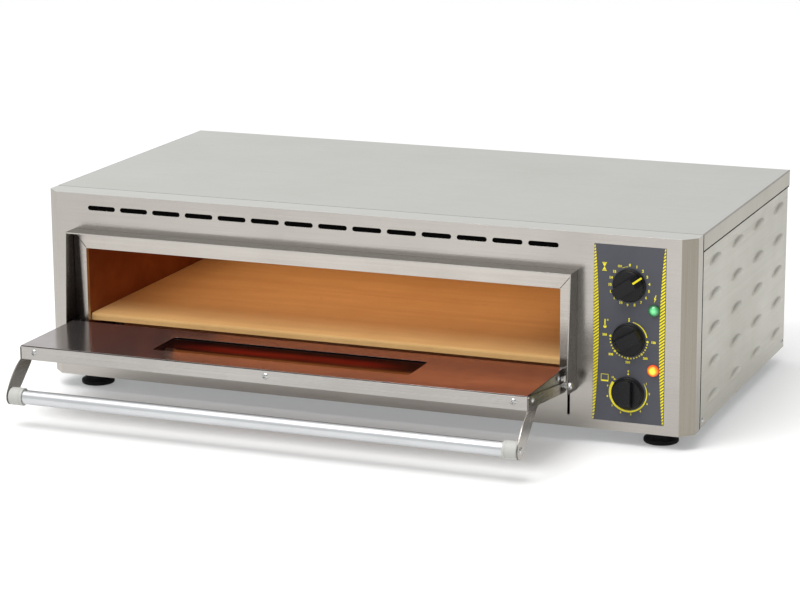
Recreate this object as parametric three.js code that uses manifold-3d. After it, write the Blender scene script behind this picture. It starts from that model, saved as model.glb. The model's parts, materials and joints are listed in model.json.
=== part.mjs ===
// Countertop pizza oven with one deck: a folded stainless cabinet on four feet, a drop-down
// glazed door between two cheeks, a refractory stone between quartz heating elements, and a
// control column with a timer, a thermostat and a power regulator.
//
// Millimetres, +Z up, the front looks towards -Y. The origin is the centre of the overall
// footprint, on the worktop. At rest the door is open and lies flat.

import * as THREE from 'three';
import { mergeVertices } from 'three/addons/utils/BufferGeometryUtils.js';
import Module from 'manifold-3d';

const wasm = await Module();
wasm.setup();

// ---------------------------------------------------------------- driving dimensions

const GAP = 0.4;                 // clearance between neighbouring sheets
const SHEET = 1.5;               // casing sheet
const THIN_SHEET = 1.2;          // panels and liners

const CABINET_WIDTH = 895;
const CABINET_DEPTH = 480;
const CABINET_HEIGHT = 250;
const FOOT_HEIGHT = 20;
const BEVEL = 16.5;              // 45 degree corners of the fascia
const FASCIA_RETURN = 37;        // how far the fascia wraps round the sides and the top
const COVER_LIP = 21;
const PANEL_INSET = 0.3;         // the side and rear panels stand just inside the cover's lip

const OVEN_X = -53;              // the oven sits left of the middle, beside the controls
const OPENING_WIDTH = 662;
const OPENING_BOTTOM = 90;
const OPENING_TOP = 198;

const HOOD_WIDTH = 702;          // over the two cheeks of the door surround
const HOOD_TOP = 222;
const HOOD_BOTTOM = 68;
const HOOD_REACH_TOP = 27;       // the cheeks stand further out at the bottom
const HOOD_REACH_BOTTOM = 37;
const BEZEL_PROUD = 7;

const HINGE_Y = -30;             // measured from the fascia
const HINGE_Z = 81;
const DOOR_WIDTH = 687;
const DOOR_LENGTH = 137;         // hinge axis to free edge
const DOOR_HEEL = 2;             // hinge axis to heel edge
const DOOR_INNER = 22;           // hinge axis to the liner's face
const DOOR_OUTER = 3.5;          // hinge axis to the outer face
const WINDOW_WIDTH = 352;
const WINDOW_DEPTH = 67;
const WINDOW_CENTRE = 64.5;      // hinge axis to the middle of the window
const ARM_SHEET = 1.5;
const HANDLE_OUT = 165.3;        // hinge axis to handle axis, along the door
const HANDLE_DROP = 37.8;        // hinge axis to handle axis, across the door
const HANDLE_RADIUS = 9.25;
const CAP_RADIUS = 11.5;
const CAP_LENGTH = 19;
const PIN_RADIUS = 4;
const LEVER_SHEET = 2;
const LEVER_REACH = 40.8;        // hinge axis to the spring hole
const LEVER_WIDTH = 10;

const CHAMBER_WIDTH = 666;
const CHAMBER_FLOOR = 58;
const CHAMBER_CEILING = 216;
const CHAMBER_FRONT = 2;
const CHAMBER_BACK = 446;
const STONE = { width: 664, depth: 430, thickness: 9, top: 106.5, front: 4 };

const LABEL = { x: 365.5, z: 145, width: 92, height: 225 };
// Each dial: its height, the way it points at rest, clockwise from up, and its body.
const CONTROLS = [
  { name: 'timer', z: 208, turn: 55, body: [44, 34, 44] },
  { name: 'thermostat', z: 139, turn: 240, body: [38, 30, 46] },
  { name: 'regulator', z: 70.5, turn: 180, body: [46, 30, 38] },
];
const KNOB_RADIUS = 21.2;
const KNOB_HEIGHT = 18.5;
const KNOB_DRUM_HEIGHT = 9;
const GRIP = { width: 14.8, tail: 19.2, crest: 13, toe: 20.4, toeHeight: 4.5 };
const LAMPS = [
  { name: 'power_lamp', z: 178.6, colour: 0x1fae6b },
  { name: 'heating_lamp', z: 102.3, colour: 0xff8a1c },
];
const LAMP_X = 397.5;

const GLAND = { x: 400, z: 62, radius: 12, proud: 16 };
const PARTITION_X = 300;         // between the oven and the controls
const SPRING_FOOT = { y: 45, z: 30 };
const ELEMENT_Y = [78, 222, 366];
const ELEMENT_Z = { upper: 206.5, lower: 74 };
const BULB = { radius: 3, capillary: 1.3, y0: 240, y1: 318, exitY: 340, z: 207 };

// Half-moon louvres in each side panel: pressed outwards, open along the lower edge.
const LOUVRE = { half: 30, rise: 11.5, proud: 4 };
const LOUVRE_COLUMNS = { first: 106, pitch: 109, count: 4 };
const LOUVRE_ROWS = { first: 46, pitch: 44, count: 5 };

// ---------------------------------------------------------------- derived dimensions

const BASE_Z = FOOT_HEIGHT;
const TOP_Z = FOOT_HEIGHT + CABINET_HEIGHT;
const SIDE_X = CABINET_WIDTH / 2;
const COVER_FRONT = FASCIA_RETURN + 1.2;
const HANDLE_REACH = HANDLE_OUT + CAP_RADIUS - HINGE_Y;
const FASCIA_Y = (HANDLE_REACH - (CABINET_DEPTH + GLAND.proud)) / 2;
const ARM_INNER = DOOR_WIDTH / 2 + 0.3;
const ARM_OUTER = ARM_INNER + ARM_SHEET;
const CHEEK_INNER = HOOD_WIDTH / 2 - SHEET;
const LEVER_X = DOOR_WIDTH / 2 - THIN_SHEET - GAP - LEVER_SHEET / 2;
const LEVER_TOP = 19;
const LEVER_MIDDLE = LEVER_TOP - LEVER_WIDTH / 2;
const SLOT = { bottom: HINGE_Z - 46, top: HINGE_Z + LEVER_TOP + 0.5, width: LEVER_SHEET + 1.4 };
const RADIANS = Math.PI / 180;

// ---------------------------------------------------------------- materials

const metal = (color, roughness) => new THREE.MeshStandardMaterial({ color, roughness, metalness: 1 });
const plain = (color, roughness) => new THREE.MeshStandardMaterial({ color, roughness, metalness: 0 });

const BRUSHED = metal(0xc4c2bc, 0.38);
const POLISHED = metal(0xb4aea8, 0.16);
const ALUMINISED = metal(0x9c9a94, 0.5);
const ALUMINIUM = metal(0xe2e4e4, 0.3);
const GALVANISED = metal(0x8f9294, 0.55);
const ZINC = metal(0xd2d4d4, 0.25);
const SPRING_STEEL = metal(0x6c6e70, 0.4);
const BRASS = metal(0xb08d4a, 0.35);
const GREY_PLASTIC = plain(0xb9bab6, 0.55);
const BLACK_PLASTIC = plain(0x17181a, 0.4);
const RUBBER = plain(0x141414, 0.85);
const PRINTED = plain(0x55565c, 0.45);
const CERAMIC = plain(0xe8e2d2, 0.7);
const REFRACTORY = plain(0xd9b98a, 0.9);
const WOOL = plain(0xd8d2c0, 1);
const GLASS = plain(0x120c0a, 0.05);

// ---------------------------------------------------------------- geometry helpers

// A closed mesh becomes a solid for joining and cutting.
function solid(geometry) {
  const bare = geometry.clone();
  bare.deleteAttribute('normal');
  bare.deleteAttribute('uv');
  const merged = mergeVertices(bare, 1e-4);
  return new wasm.Manifold(new wasm.Mesh({
    numProp: 3,
    vertProperties: new Float32Array(merged.attributes.position.array),
    triVerts: new Uint32Array(merged.index.array),
  }));
}

function geometryOf(body) {
  const mesh = body.getMesh();
  const geometry = new THREE.BufferGeometry();
  geometry.setAttribute('position', new THREE.BufferAttribute(mesh.vertProperties, 3));
  geometry.setIndex(new THREE.BufferAttribute(mesh.triVerts, 1));
  geometry.computeVertexNormals();
  return geometry;
}

function join(first, ...others) {
  return geometryOf(others.reduce((sum, other) => sum.add(solid(other)), solid(first)));
}

function cut(first, ...tools) {
  return geometryOf(tools.reduce((rest, tool) => rest.subtract(solid(tool)), solid(first)));
}

function common(first, second) {
  return geometryOf(solid(first).intersect(solid(second)));
}

// A box from its lowest to its highest corner.
function box([x0, y0, z0], [x1, y1, z1]) {
  return new THREE.BoxGeometry(x1 - x0, y1 - y0, z1 - z0)
    .translate((x0 + x1) / 2, (y0 + y1) / 2, (z0 + z1) / 2);
}

const outline = (points) => new THREE.Shape(points.map(([x, y]) => new THREE.Vector2(x, y)));

function extrude(shape, depth, curveSegments = 8) {
  return new THREE.ExtrudeGeometry(shape, { depth, bevelEnabled: false, curveSegments });
}

// Prisms along each axis. Their outlines are drawn in (x, z), (y, z) and (x, y).
function alongY(shape, y0, y1, segments) {
  return extrude(shape, y1 - y0, segments).rotateX(Math.PI / 2).translate(0, y1, 0);
}

const YZX = new THREE.Matrix4().makeBasis(
  new THREE.Vector3(0, 1, 0), new THREE.Vector3(0, 0, 1), new THREE.Vector3(1, 0, 0));

function alongX(shape, x0, x1, segments) {
  return extrude(shape, x1 - x0, segments).applyMatrix4(YZX).translate(x0, 0, 0);
}

function alongZ(shape, z0, z1, segments) {
  return extrude(shape, z1 - z0, segments).translate(0, 0, z0);
}

// A rectangle with round corners, about its centre.
function roundedRectangle(width, height, radius, x = 0, y = 0) {
  const shape = new THREE.Shape();
  const a = width / 2 - radius;
  const b = height / 2 - radius;
  shape.absarc(x + a, y + b, radius, 0, Math.PI / 2);
  shape.absarc(x - a, y + b, radius, Math.PI / 2, Math.PI);
  shape.absarc(x - a, y - b, radius, Math.PI, 1.5 * Math.PI);
  shape.absarc(x + a, y - b, radius, 1.5 * Math.PI, 2 * Math.PI);
  return shape;
}

// Cylinders between two stations on an axis through (a, b).
function rodY(radius, y0, y1, x, z, sides = 20) {
  return new THREE.CylinderGeometry(radius, radius, y1 - y0, sides).translate(x, (y0 + y1) / 2, z);
}

function rodX(radius, x0, x1, y, z, sides = 20) {
  return new THREE.CylinderGeometry(radius, radius, x1 - x0, sides)
    .rotateZ(-Math.PI / 2).translate((x0 + x1) / 2, y, z);
}

// A turned piece from [radius, height] pairs, about Z.
function turned(profile, sides = 24) {
  return new THREE.LatheGeometry(profile.map(([r, h]) => new THREE.Vector2(r, h)), sides)
    .rotateX(Math.PI / 2);
}

// A bar of round section that follows a smooth curve.
function bentRod(points, radius, steps, sides) {
  const path = new THREE.CatmullRomCurve3(points.map((p) => new THREE.Vector3(...p)));
  const section = new THREE.Shape();
  section.absarc(0, 0, radius, 0, 2 * Math.PI);
  return new THREE.ExtrudeGeometry(section, {
    steps, extrudePath: path, bevelEnabled: false, curveSegments: sides,
  });
}

// ---------------------------------------------------------------- assembly groups

const oven = new THREE.Group();
const cabinet = new THREE.Group();      // origin on the fascia's front face, at worktop level
cabinet.position.set(0, FASCIA_Y, 0);
const door = new THREE.Group();         // origin on the hinge axis, the open door lies along -Y
door.position.set(OVEN_X, HINGE_Y, HINGE_Z);
cabinet.add(door);
oven.add(cabinet);

function place(group, name, geometry, material) {
  const mesh = new THREE.Mesh(geometry, material);
  mesh.name = name;
  group.add(mesh);
  return mesh;
}

const SIDES = [['left', -1], ['right', 1]];

// ---------------------------------------------------------------- casing

// The slots that let the hinge levers through everything in front of the cabinet.
function leverSlots() {
  return SIDES.map(([, side]) => {
    const x = OVEN_X + side * LEVER_X;
    return box([x - SLOT.width / 2, -10, SLOT.bottom], [x + SLOT.width / 2, 5, SLOT.top]);
  });
}

function ventSlots() {
  const count = 14;
  const pitch = 47.4;
  const middle = -55;
  return Array.from({ length: count }, (_, i) => {
    const x = middle + (i - (count - 1) / 2) * pitch;
    return alongY(roundedRectangle(40, 6.4, 3.15, x, TOP_Z - 18.8), -1, SHEET + 1, 2);
  });
}

function frontFascia() {
  const mitre = SHEET * Math.tan(Math.PI / 8);
  const flat = SIDE_X - BEVEL;
  const outer = [
    [-SIDE_X, FASCIA_RETURN], [-SIDE_X, BEVEL], [-flat, 0],
    [flat, 0], [SIDE_X, BEVEL], [SIDE_X, FASCIA_RETURN],
  ];
  const inner = [
    [SIDE_X - SHEET, FASCIA_RETURN], [SIDE_X - SHEET, BEVEL + mitre], [flat - mitre, SHEET],
    [-flat + mitre, SHEET], [-SIDE_X + SHEET, BEVEL + mitre], [-SIDE_X + SHEET, FASCIA_RETURN],
  ];
  const front = alongZ(outline([...outer, ...inner]), BASE_Z, TOP_Z - SHEET / 2);
  const top = alongZ(outline(outer), TOP_Z - SHEET, TOP_Z);
  const shell = join(front, top);
  const half = OPENING_WIDTH / 2 + 2;
  const doorway = box([OVEN_X - half, -1, OPENING_BOTTOM], [OVEN_X + half, 3, OPENING_TOP + 2]);
  const shafts = CONTROLS.map(({ z }) => rodY(5, -1, 3, LABEL.x, z));
  const lamps = LAMPS.map(({ z }) => rodY(6.6, -1, 3, LAMP_X, z));
  return cut(shell, doorway, ...ventSlots(), ...shafts, ...lamps, ...leverSlots());
}

function topCover() {
  const lip = TOP_Z - COVER_LIP;
  const x = SIDE_X;
  const t = SHEET;
  const section = outline([
    [-x, lip], [-x + t, lip], [-x + t, TOP_Z - t], [x - t, TOP_Z - t],
    [x - t, lip], [x, lip], [x, TOP_Z], [-x, TOP_Z],
  ]);
  const hood = alongY(section, COVER_FRONT, CABINET_DEPTH);
  const rearLip = box([-x + t / 2, CABINET_DEPTH - t, lip], [x - t / 2, CABINET_DEPTH, TOP_Z - t / 2]);
  return join(hood, rearLip);
}

// The upper half of a flattened ball; below is how far it runs on under its middle.
function louvreDome(x, y, z, shrink, below) {
  const dome = new THREE.SphereGeometry(1, 8, 3)
    .scale(LOUVRE.proud - shrink, LOUVRE.half - shrink, LOUVRE.rise - shrink)
    .translate(x, y, z);
  const keep = box([x - 6, y - 40, z - below], [x + 6, y + 40, z + 20]);
  return common(dome, keep);
}

function sidePanel(side) {
  const outerFace = SIDE_X - SHEET - PANEL_INSET;
  const back = CABINET_DEPTH - SHEET - THIN_SHEET - 2 * GAP;
  let panel = box(
    [outerFace - THIN_SHEET, COVER_FRONT, BASE_Z], [outerFace, back, TOP_Z - SHEET - GAP]);
  for (let column = 0; column < LOUVRE_COLUMNS.count; column += 1) {
    for (let row = 0; row < LOUVRE_ROWS.count; row += 1) {
      const y = LOUVRE_COLUMNS.first + column * LOUVRE_COLUMNS.pitch;
      const z = LOUVRE_ROWS.first + row * LOUVRE_ROWS.pitch;
      panel = join(panel, louvreDome(outerFace, y, z, 0, 0));
      panel = cut(panel, louvreDome(outerFace - 0.2, y, z, 1, 0.5));
    }
  }
  return side > 0 ? panel : panel.rotateZ(Math.PI).translate(0, COVER_FRONT + back, 0);
}

function rearPanel() {
  const y0 = CABINET_DEPTH - SHEET - GAP - THIN_SHEET;
  const half = SIDE_X - SHEET - PANEL_INSET;
  const sheet = box([-half, y0, BASE_Z], [half, y0 + THIN_SHEET, TOP_Z - SHEET - GAP]);
  const vents = [];
  for (const bank of [-260, 0, 260]) {
    for (let i = -2; i <= 2; i += 1) {
      vents.push(alongY(roundedRectangle(6, 60, 2.9, bank + i * 22, 175), y0 - 1, y0 + 3, 2));
    }
  }
  const cableHole = rodY(GLAND.radius - 3, y0 - 1, y0 + 3, GLAND.x, GLAND.z);
  return cut(sheet, cableHole, ...vents);
}

function basePlate() {
  const x = SIDE_X - SHEET - PANEL_INSET - THIN_SHEET - GAP;
  const y0 = SHEET + GAP;
  const y1 = CABINET_DEPTH - SHEET - 2 * GAP - THIN_SHEET;
  const flange = BASE_Z + 12;
  const front = FASCIA_RETURN + 2;
  const nose = SIDE_X - BEVEL - SHEET;
  const sheet = box([-nose, y0, BASE_Z], [nose, y1, BASE_Z + SHEET]);
  const wings = box([-x, front, BASE_Z], [x, y1, BASE_Z + SHEET]);
  const flanges = SIDES.map(([, side]) => {
    const edge = side * x;
    return box(
      [Math.min(edge, edge - side * SHEET), front, BASE_Z],
      [Math.max(edge, edge - side * SHEET), y1, flange]);
  });
  const springTabs = SIDES.map(([, side]) => {
    const tabX = OVEN_X + side * LEVER_X;
    return box([tabX - 5, SPRING_FOOT.y, BASE_Z], [tabX + 5, SPRING_FOOT.y + 2, SPRING_FOOT.z]);
  });
  return join(sheet, wings, ...flanges, ...springTabs);
}

// ---------------------------------------------------------------- door surround

function doorSurround() {
  const half = HOOD_WIDTH / 2;
  const rear = -GAP;
  const pieces = [];
  for (const [, side] of SIDES) {
    const cheek = outline([
      [rear, HOOD_BOTTOM], [rear, HOOD_TOP],
      [-HOOD_REACH_TOP, HOOD_TOP], [-HOOD_REACH_BOTTOM, HOOD_BOTTOM + 2.5],
    ]);
    const outerX = OVEN_X + side * half;
    const innerX = OVEN_X + side * CHEEK_INNER;
    pieces.push(alongX(cheek, Math.min(outerX, innerX), Math.max(outerX, innerX)));
    const flangeX = OVEN_X + side * (half - 15);
    pieces.push(box(
      [Math.min(outerX, flangeX), rear - THIN_SHEET, HOOD_BOTTOM],
      [Math.max(outerX, flangeX), rear, HOOD_TOP - SHEET / 2]));
  }
  const roof = box([OVEN_X - half, -HOOD_REACH_TOP, HOOD_TOP - SHEET], [OVEN_X + half, rear, HOOD_TOP]);
  const pinHoles = SIDES.map(([, side]) => {
    const x = OVEN_X + side * half;
    return rodX(PIN_RADIUS + 0.3, x - 4, x + 4, HINGE_Y, HINGE_Z);
  });
  return cut(join(roof, ...pieces), ...pinHoles, ...leverSlots());
}

// A shallow tray section round three sides of the doorway, inside the surround.
function openingBezel() {
  const inner = OPENING_WIDTH / 2;
  const outer = CHEEK_INNER - 0.5;
  const top = HOOD_TOP - SHEET - 0.3;
  const bottom = HOOD_BOTTOM + 4;
  const front = -BEZEL_PROUD;
  const face = [
    [OVEN_X - outer, bottom], [OVEN_X - inner, bottom], [OVEN_X - inner, OPENING_TOP],
    [OVEN_X + inner, OPENING_TOP], [OVEN_X + inner, bottom], [OVEN_X + outer, bottom],
    [OVEN_X + outer, top], [OVEN_X - outer, top],
  ];
  const t = THIN_SHEET;
  const reveal = [
    [OVEN_X - inner - t, bottom], [OVEN_X - inner, bottom], [OVEN_X - inner, OPENING_TOP],
    [OVEN_X + inner, OPENING_TOP], [OVEN_X + inner, bottom], [OVEN_X + inner + t, bottom],
    [OVEN_X + inner + t, OPENING_TOP + t], [OVEN_X - inner - t, OPENING_TOP + t],
  ];
  return cut(
    join(alongY(outline(face), front, front + t), alongY(outline(reveal), front + t / 2, -0.3)),
    ...leverSlots());
}

// ---------------------------------------------------------------- oven chamber

// The liner is a sheet box, open towards the front.
function chamberLiner() {
  const half = CHAMBER_WIDTH / 2;
  const t = THIN_SHEET;
  const shell = box(
    [OVEN_X - half - t, CHAMBER_FRONT, CHAMBER_FLOOR - t],
    [OVEN_X + half + t, CHAMBER_BACK + t, CHAMBER_CEILING + t]);
  const hollow = box(
    [OVEN_X - half, CHAMBER_FRONT - 2, CHAMBER_FLOOR], [OVEN_X + half, CHAMBER_BACK, CHAMBER_CEILING]);
  const capillaryHole = rodX(BULB.radius + 0.5, OVEN_X + half - 3, OVEN_X + half + 4, BULB.exitY, BULB.z);
  return cut(shell, hollow, capillaryHole);
}

function bakingStone() {
  const { width, depth, thickness, top, front } = STONE;
  const r = 4;
  const side = new THREE.Shape();
  side.moveTo(front, top - thickness);
  side.lineTo(front + depth, top - thickness);
  side.lineTo(front + depth, top);
  side.absarc(front + r, top - r, r, Math.PI / 2, Math.PI);
  return alongX(side, OVEN_X - width / 2, OVEN_X + width / 2, 5);
}

// Angle rails along the chamber walls carry the stone.
function stoneRail(side) {
  const wall = OVEN_X + side * (CHAMBER_WIDTH / 2 - 0.3);
  const seat = STONE.top - STONE.thickness - 0.3;
  const inward = -side * 14;
  const profile = [
    [wall, seat], [wall, seat - 8], [wall + Math.sign(inward) * 1.5, seat - 8],
    [wall + Math.sign(inward) * 1.5, seat - 1.5], [wall + inward, seat - 1.5], [wall + inward, seat],
  ];
  return alongY(outline(side > 0 ? profile : profile.reverse()), 6, CHAMBER_BACK - 2);
}

// A quartz tube with a ceramic cap at each end, across the chamber.
function quartzElement(y, z) {
  const half = CHAMBER_WIDTH / 2 - 0.5;
  const tube = 6;
  const cap = 8;
  const capLength = 14;
  const profile = [
    [0, -half], [cap, -half], [cap, -half + capLength], [tube, -half + capLength],
    [tube, half - capLength], [cap, half - capLength], [cap, half], [0, half],
  ];
  return turned(profile, 12).rotateY(Math.PI / 2).translate(OVEN_X, y, z);
}

function insulation() {
  const t = THIN_SHEET + GAP;
  const half = CHAMBER_WIDTH / 2 + t;
  const floor = CHAMBER_FLOOR - t;
  const ceiling = CHAMBER_CEILING + t;
  const back = CHAMBER_BACK + t;
  const wrapStart = 70;
  const thick = 16;
  const capillaryHole = rodX(2.5, OVEN_X + half - 1, OVEN_X + half + thick + 1, BULB.exitY, BULB.z, 10);
  place(cabinet, 'top_insulation', box(
    [OVEN_X - half, 5, ceiling], [OVEN_X + half, back, ceiling + 23]), WOOL);
  place(cabinet, 'bottom_insulation', box(
    [OVEN_X - half, 5, floor - 24], [OVEN_X + half, back, floor]), WOOL);
  place(cabinet, 'rear_insulation', box(
    [OVEN_X - half, back, floor + GAP], [OVEN_X + half, back + 22, ceiling - GAP]), WOOL);
  place(cabinet, 'left_insulation', box(
    [OVEN_X - half - thick, wrapStart, floor], [OVEN_X - half, back - GAP, ceiling]), WOOL);
  place(cabinet, 'right_insulation', cut(box(
    [OVEN_X + half, wrapStart, floor], [OVEN_X + half + thick, back - GAP, ceiling]), capillaryHole), WOOL);
}

// ---------------------------------------------------------------- controls

function controlPartition() {
  const sheet = box(
    [PARTITION_X, SHEET + GAP, BASE_Z + SHEET + GAP],
    [PARTITION_X + THIN_SHEET, CABINET_DEPTH - 6, TOP_Z - SHEET - GAP]);
  return cut(sheet, rodX(4, PARTITION_X - 2, PARTITION_X + 4, BULB.exitY, BULB.z));
}

function controlLabel() {
  const { x, z, width, height } = LABEL;
  const plate = box([x - width / 2, -0.8, z - height / 2], [x + width / 2, -0.3, z + height / 2]);
  const shafts = CONTROLS.map((control) => rodY(5, -2, 1, x, control.z));
  const lamps = LAMPS.map((lamp) => rodY(6.6, -2, 1, LAMP_X, lamp.z));
  return cut(plate, ...shafts, ...lamps);
}

// A black knob: a skirt, a low drum and a grip bar across it, bored for the shaft. The pointer
// end, which is upwards here, is cut to a slope from the bar's crest down to the skirt.
function knob() {
  const skirt = rodY(KNOB_RADIUS, -4.5, -1.2, 0, 0, 36);
  const drum = rodY(KNOB_RADIUS - 1.5, -KNOB_DRUM_HEIGHT, -4, 0, 0, 36);
  const side = outline([
    [-4.2, -GRIP.tail], [-KNOB_HEIGHT, -GRIP.tail + 1], [-KNOB_HEIGHT, GRIP.crest],
    [-GRIP.toeHeight, GRIP.toe], [-4.2, GRIP.toe],
  ]);
  const round = rodY(KNOB_RADIUS - 0.8, -KNOB_HEIGHT - 1, 0, 0, 0, 36);
  const bar = common(alongX(side, -GRIP.width / 2, GRIP.width / 2), round);
  const slope = outline([
    [-GRIP.toeHeight, GRIP.toe], [-KNOB_HEIGHT, GRIP.crest],
    [-KNOB_HEIGHT, KNOB_RADIUS + 1], [-GRIP.toeHeight, KNOB_RADIUS + 1],
  ]);
  const pointerEnd = alongX(slope, -KNOB_RADIUS, KNOB_RADIUS);
  return cut(join(skirt, drum, bar), pointerEnd, rodY(3.3, -15, 0, 0, 0));
}

// A round shaft with a flat on one side.
function flattedShaft() {
  const shape = new THREE.Shape();
  shape.absarc(0, 0, 3, -60 * RADIANS, 240 * RADIANS);
  return alongY(shape, -14.5, 12, 10);
}

function switchBody([width, depth, height]) {
  const block = alongY(roundedRectangle(width, height, 3, 0, 0), 2.5, depth + 2.5, 2);
  const rear = alongY(roundedRectangle(width - 12, height - 12, 2, 0, 0), depth + 2, depth + 9, 2);
  return cut(join(block, rear), rodY(3.6, 0, 14, 0, 0));
}

function controls() {
  for (const { name, z, turn, body } of CONTROLS) {
    const station = new THREE.Group();
    station.position.set(LABEL.x, 0, z);
    cabinet.add(station);
    place(station, `${name}_body`, switchBody(body), GREY_PLASTIC);
    const turning = new THREE.Group();
    turning.rotation.y = turn * RADIANS;
    station.add(turning);
    place(turning, `${name}_shaft`, flattedShaft(), BRASS);
    place(turning, `${name}_knob`, knob(), BLACK_PLASTIC);
  }
}

// A domed lens with a collar and a barrel behind the panel.
function lamp(z) {
  const profile = [
    [0, 5], [3.2, 4.6], [5.6, 3.4], [6.8, 2], [7.6, 1.4], [7.6, 0], [6, 0], [6, -26], [0, -26],
  ];
  return turned(profile.reverse(), 20).rotateX(Math.PI / 2).translate(LAMP_X, -1.2, z);
}

// The thermostat's sensing bulb lies along the chamber wall, its capillary runs to the dial.
function thermostatBulb() {
  const wall = OVEN_X + CHAMBER_WIDTH / 2;
  const x = wall - 8;
  const bulb = rodY(BULB.radius, BULB.y0, BULB.y1, x, BULB.z, 10);
  const { z: dialZ, body: [, bodyDepth] } = CONTROLS[1];
  const capillary = bentRod([
    [x, BULB.y1 - 5, BULB.z], [x, BULB.y1 + 10, BULB.z], [x + 3, BULB.exitY - 3, BULB.z],
    [wall, BULB.exitY, BULB.z], [wall + 12, BULB.exitY, BULB.z], [wall + 34, BULB.exitY, BULB.z],
    [wall + 60, 300, BULB.z - 12], [LABEL.x, 200, dialZ + 20], [LABEL.x, 100, dialZ],
    [LABEL.x, bodyDepth + 12, dialZ],
  ], BULB.capillary, 30, 2);
  return join(bulb, capillary);
}

function terminalBlock() {
  const x0 = 384;
  const base = box([x0, 424, BASE_Z + 2], [x0 + 36, 452, BASE_Z + 18]);
  const channels = [1, 2, 3, 4].map((i) => (
    box([x0 - 4 + i * 8, 420, BASE_Z + 10], [x0 - 1 + i * 8, 456, BASE_Z + 20])));
  return cut(base, ...channels);
}

// The cable entry: a hexagon flange outside and a tapered mouth, open right through.
function cableGland() {
  const { x, z, radius, proud } = GLAND;
  const y = CABINET_DEPTH;
  const flange = rodY(radius, y - 1.4, y + 5, x, z, 6);
  const mouth = new THREE.CylinderGeometry(6.5, 10, proud - 4.5, 20).translate(x, y + (proud + 4.5) / 2, z);
  const barrel = rodY(radius - 3.6, y - 14, y, x, z, 20);
  return cut(join(flange, mouth, barrel), rodY(4.5, y - 15, y + proud + 1, x, z, 16));
}

// ---------------------------------------------------------------- feet

function foot(x, y) {
  const profile = [
    [0, 0], [19.5, 0], [22.3, 1.6], [22.3, 5], [17.5, 9.2], [15.5, BASE_Z - 0.3], [0, BASE_Z - 0.3],
  ];
  return turned(profile).translate(x, y, 0);
}

function feet() {
  const x = SIDE_X - 50;
  for (const [end, y] of [['front', 40], ['rear', CABINET_DEPTH - 40]]) {
    for (const [name, side] of SIDES) {
      place(cabinet, `foot_${end}_${name}`, foot(side * x, y), RUBBER);
    }
  }
}

// ---------------------------------------------------------------- door

// The window cut through a sheet of the door, or the outline of what lies in it.
function windowPrism(grow, z0, z1, radius = 6) {
  return alongZ(roundedRectangle(
    WINDOW_WIDTH + 2 * grow, WINDOW_DEPTH + 2 * grow, radius, 0, -WINDOW_CENTRE), z0, z1, 4);
}

// A shallow tray: the outer face with four turned-up edges.
function doorOuterSkin() {
  const half = DOOR_WIDTH / 2;
  const t = THIN_SHEET;
  const rim = DOOR_INNER - 1 - GAP;
  const tray = box([-half, -DOOR_LENGTH, DOOR_OUTER], [half, DOOR_HEEL, rim]);
  const hollow = box([-half + t, -DOOR_LENGTH + t, DOOR_OUTER + t], [half - t, DOOR_HEEL - t, rim + 1]);
  const leverNotches = SIDES.map(([, side]) => {
    const x = side * LEVER_X;
    return box(
      [x - LEVER_SHEET / 2 - 0.4, DOOR_HEEL - t - 1, LEVER_TOP - LEVER_WIDTH - 0.5],
      [x + LEVER_SHEET / 2 + 0.4, DOOR_HEEL + 1, rim + 1]);
  });
  return cut(tray, hollow, windowPrism(0, 0, 10), ...leverNotches);
}

function doorLiner() {
  const half = DOOR_WIDTH / 2;
  const sheet = box([-half, -DOOR_LENGTH, DOOR_INNER - 1], [half, DOOR_HEEL, DOOR_INNER]);
  return cut(sheet, windowPrism(0, 10, 30));
}

// One plate on each side: it carries the door on the hinge pin and the handle on its arm.
function doorArm(side) {
  const endRadius = 11.5;
  const heel = 9.5;
  const lean = new THREE.Vector2(0.733, -0.68);
  const across = new THREE.Vector2(0.68, 0.733);
  const end = new THREE.Vector2(HANDLE_OUT, -HANDLE_DROP);
  const at = (along, off) => [
    end.x + lean.x * along + across.x * off, end.y + lean.y * along + across.y * off,
  ];
  const angle = Math.atan2(across.y, across.x);
  const shape = new THREE.Shape();
  shape.moveTo(-DOOR_HEEL, DOOR_INNER - 1);
  shape.absarc(0, 0, heel, Math.PI * 0.92, Math.PI * 1.47);
  shape.lineTo(98, 1.4);
  shape.quadraticCurveTo(107, 1, ...at(-60, -endRadius - 2));
  shape.lineTo(...at(0, -endRadius));
  shape.absarc(end.x, end.y, endRadius, angle - Math.PI, angle - 0.3);
  shape.quadraticCurveTo(160.3, -6.1, DOOR_LENGTH, DOOR_OUTER);
  shape.lineTo(DOOR_LENGTH, DOOR_INNER - 6);
  shape.quadraticCurveTo(DOOR_LENGTH, DOOR_INNER - 1, DOOR_LENGTH - 5, DOOR_INNER - 1);
  const plate = alongX(shape, 0, ARM_SHEET, 8);
  const hole = rodX(PIN_RADIUS + 0.25, -1, ARM_SHEET + 1, 0, 0);
  const drilled = cut(plate, hole);
  // The outline is drawn with the door pointing to +Y; turning it about Z points it to -Y.
  drilled.rotateZ(Math.PI);
  return drilled.translate(side > 0 ? ARM_OUTER : -ARM_INNER, 0, 0);
}

function hingeLever(side) {
  const shape = new THREE.Shape();
  const bottom = LEVER_TOP - LEVER_WIDTH;
  shape.moveTo(-40, bottom);
  shape.lineTo(LEVER_REACH, bottom);
  shape.absarc(LEVER_REACH, LEVER_MIDDLE, LEVER_WIDTH / 2, -Math.PI / 2, Math.PI / 2);
  shape.lineTo(-40, LEVER_TOP);
  const x = side * LEVER_X;
  const bar = alongX(shape, x - LEVER_SHEET / 2, x + LEVER_SHEET / 2, 8);
  return cut(bar, rodX(1.8, x - 3, x + 3, LEVER_REACH, LEVER_MIDDLE, 12));
}

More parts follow.
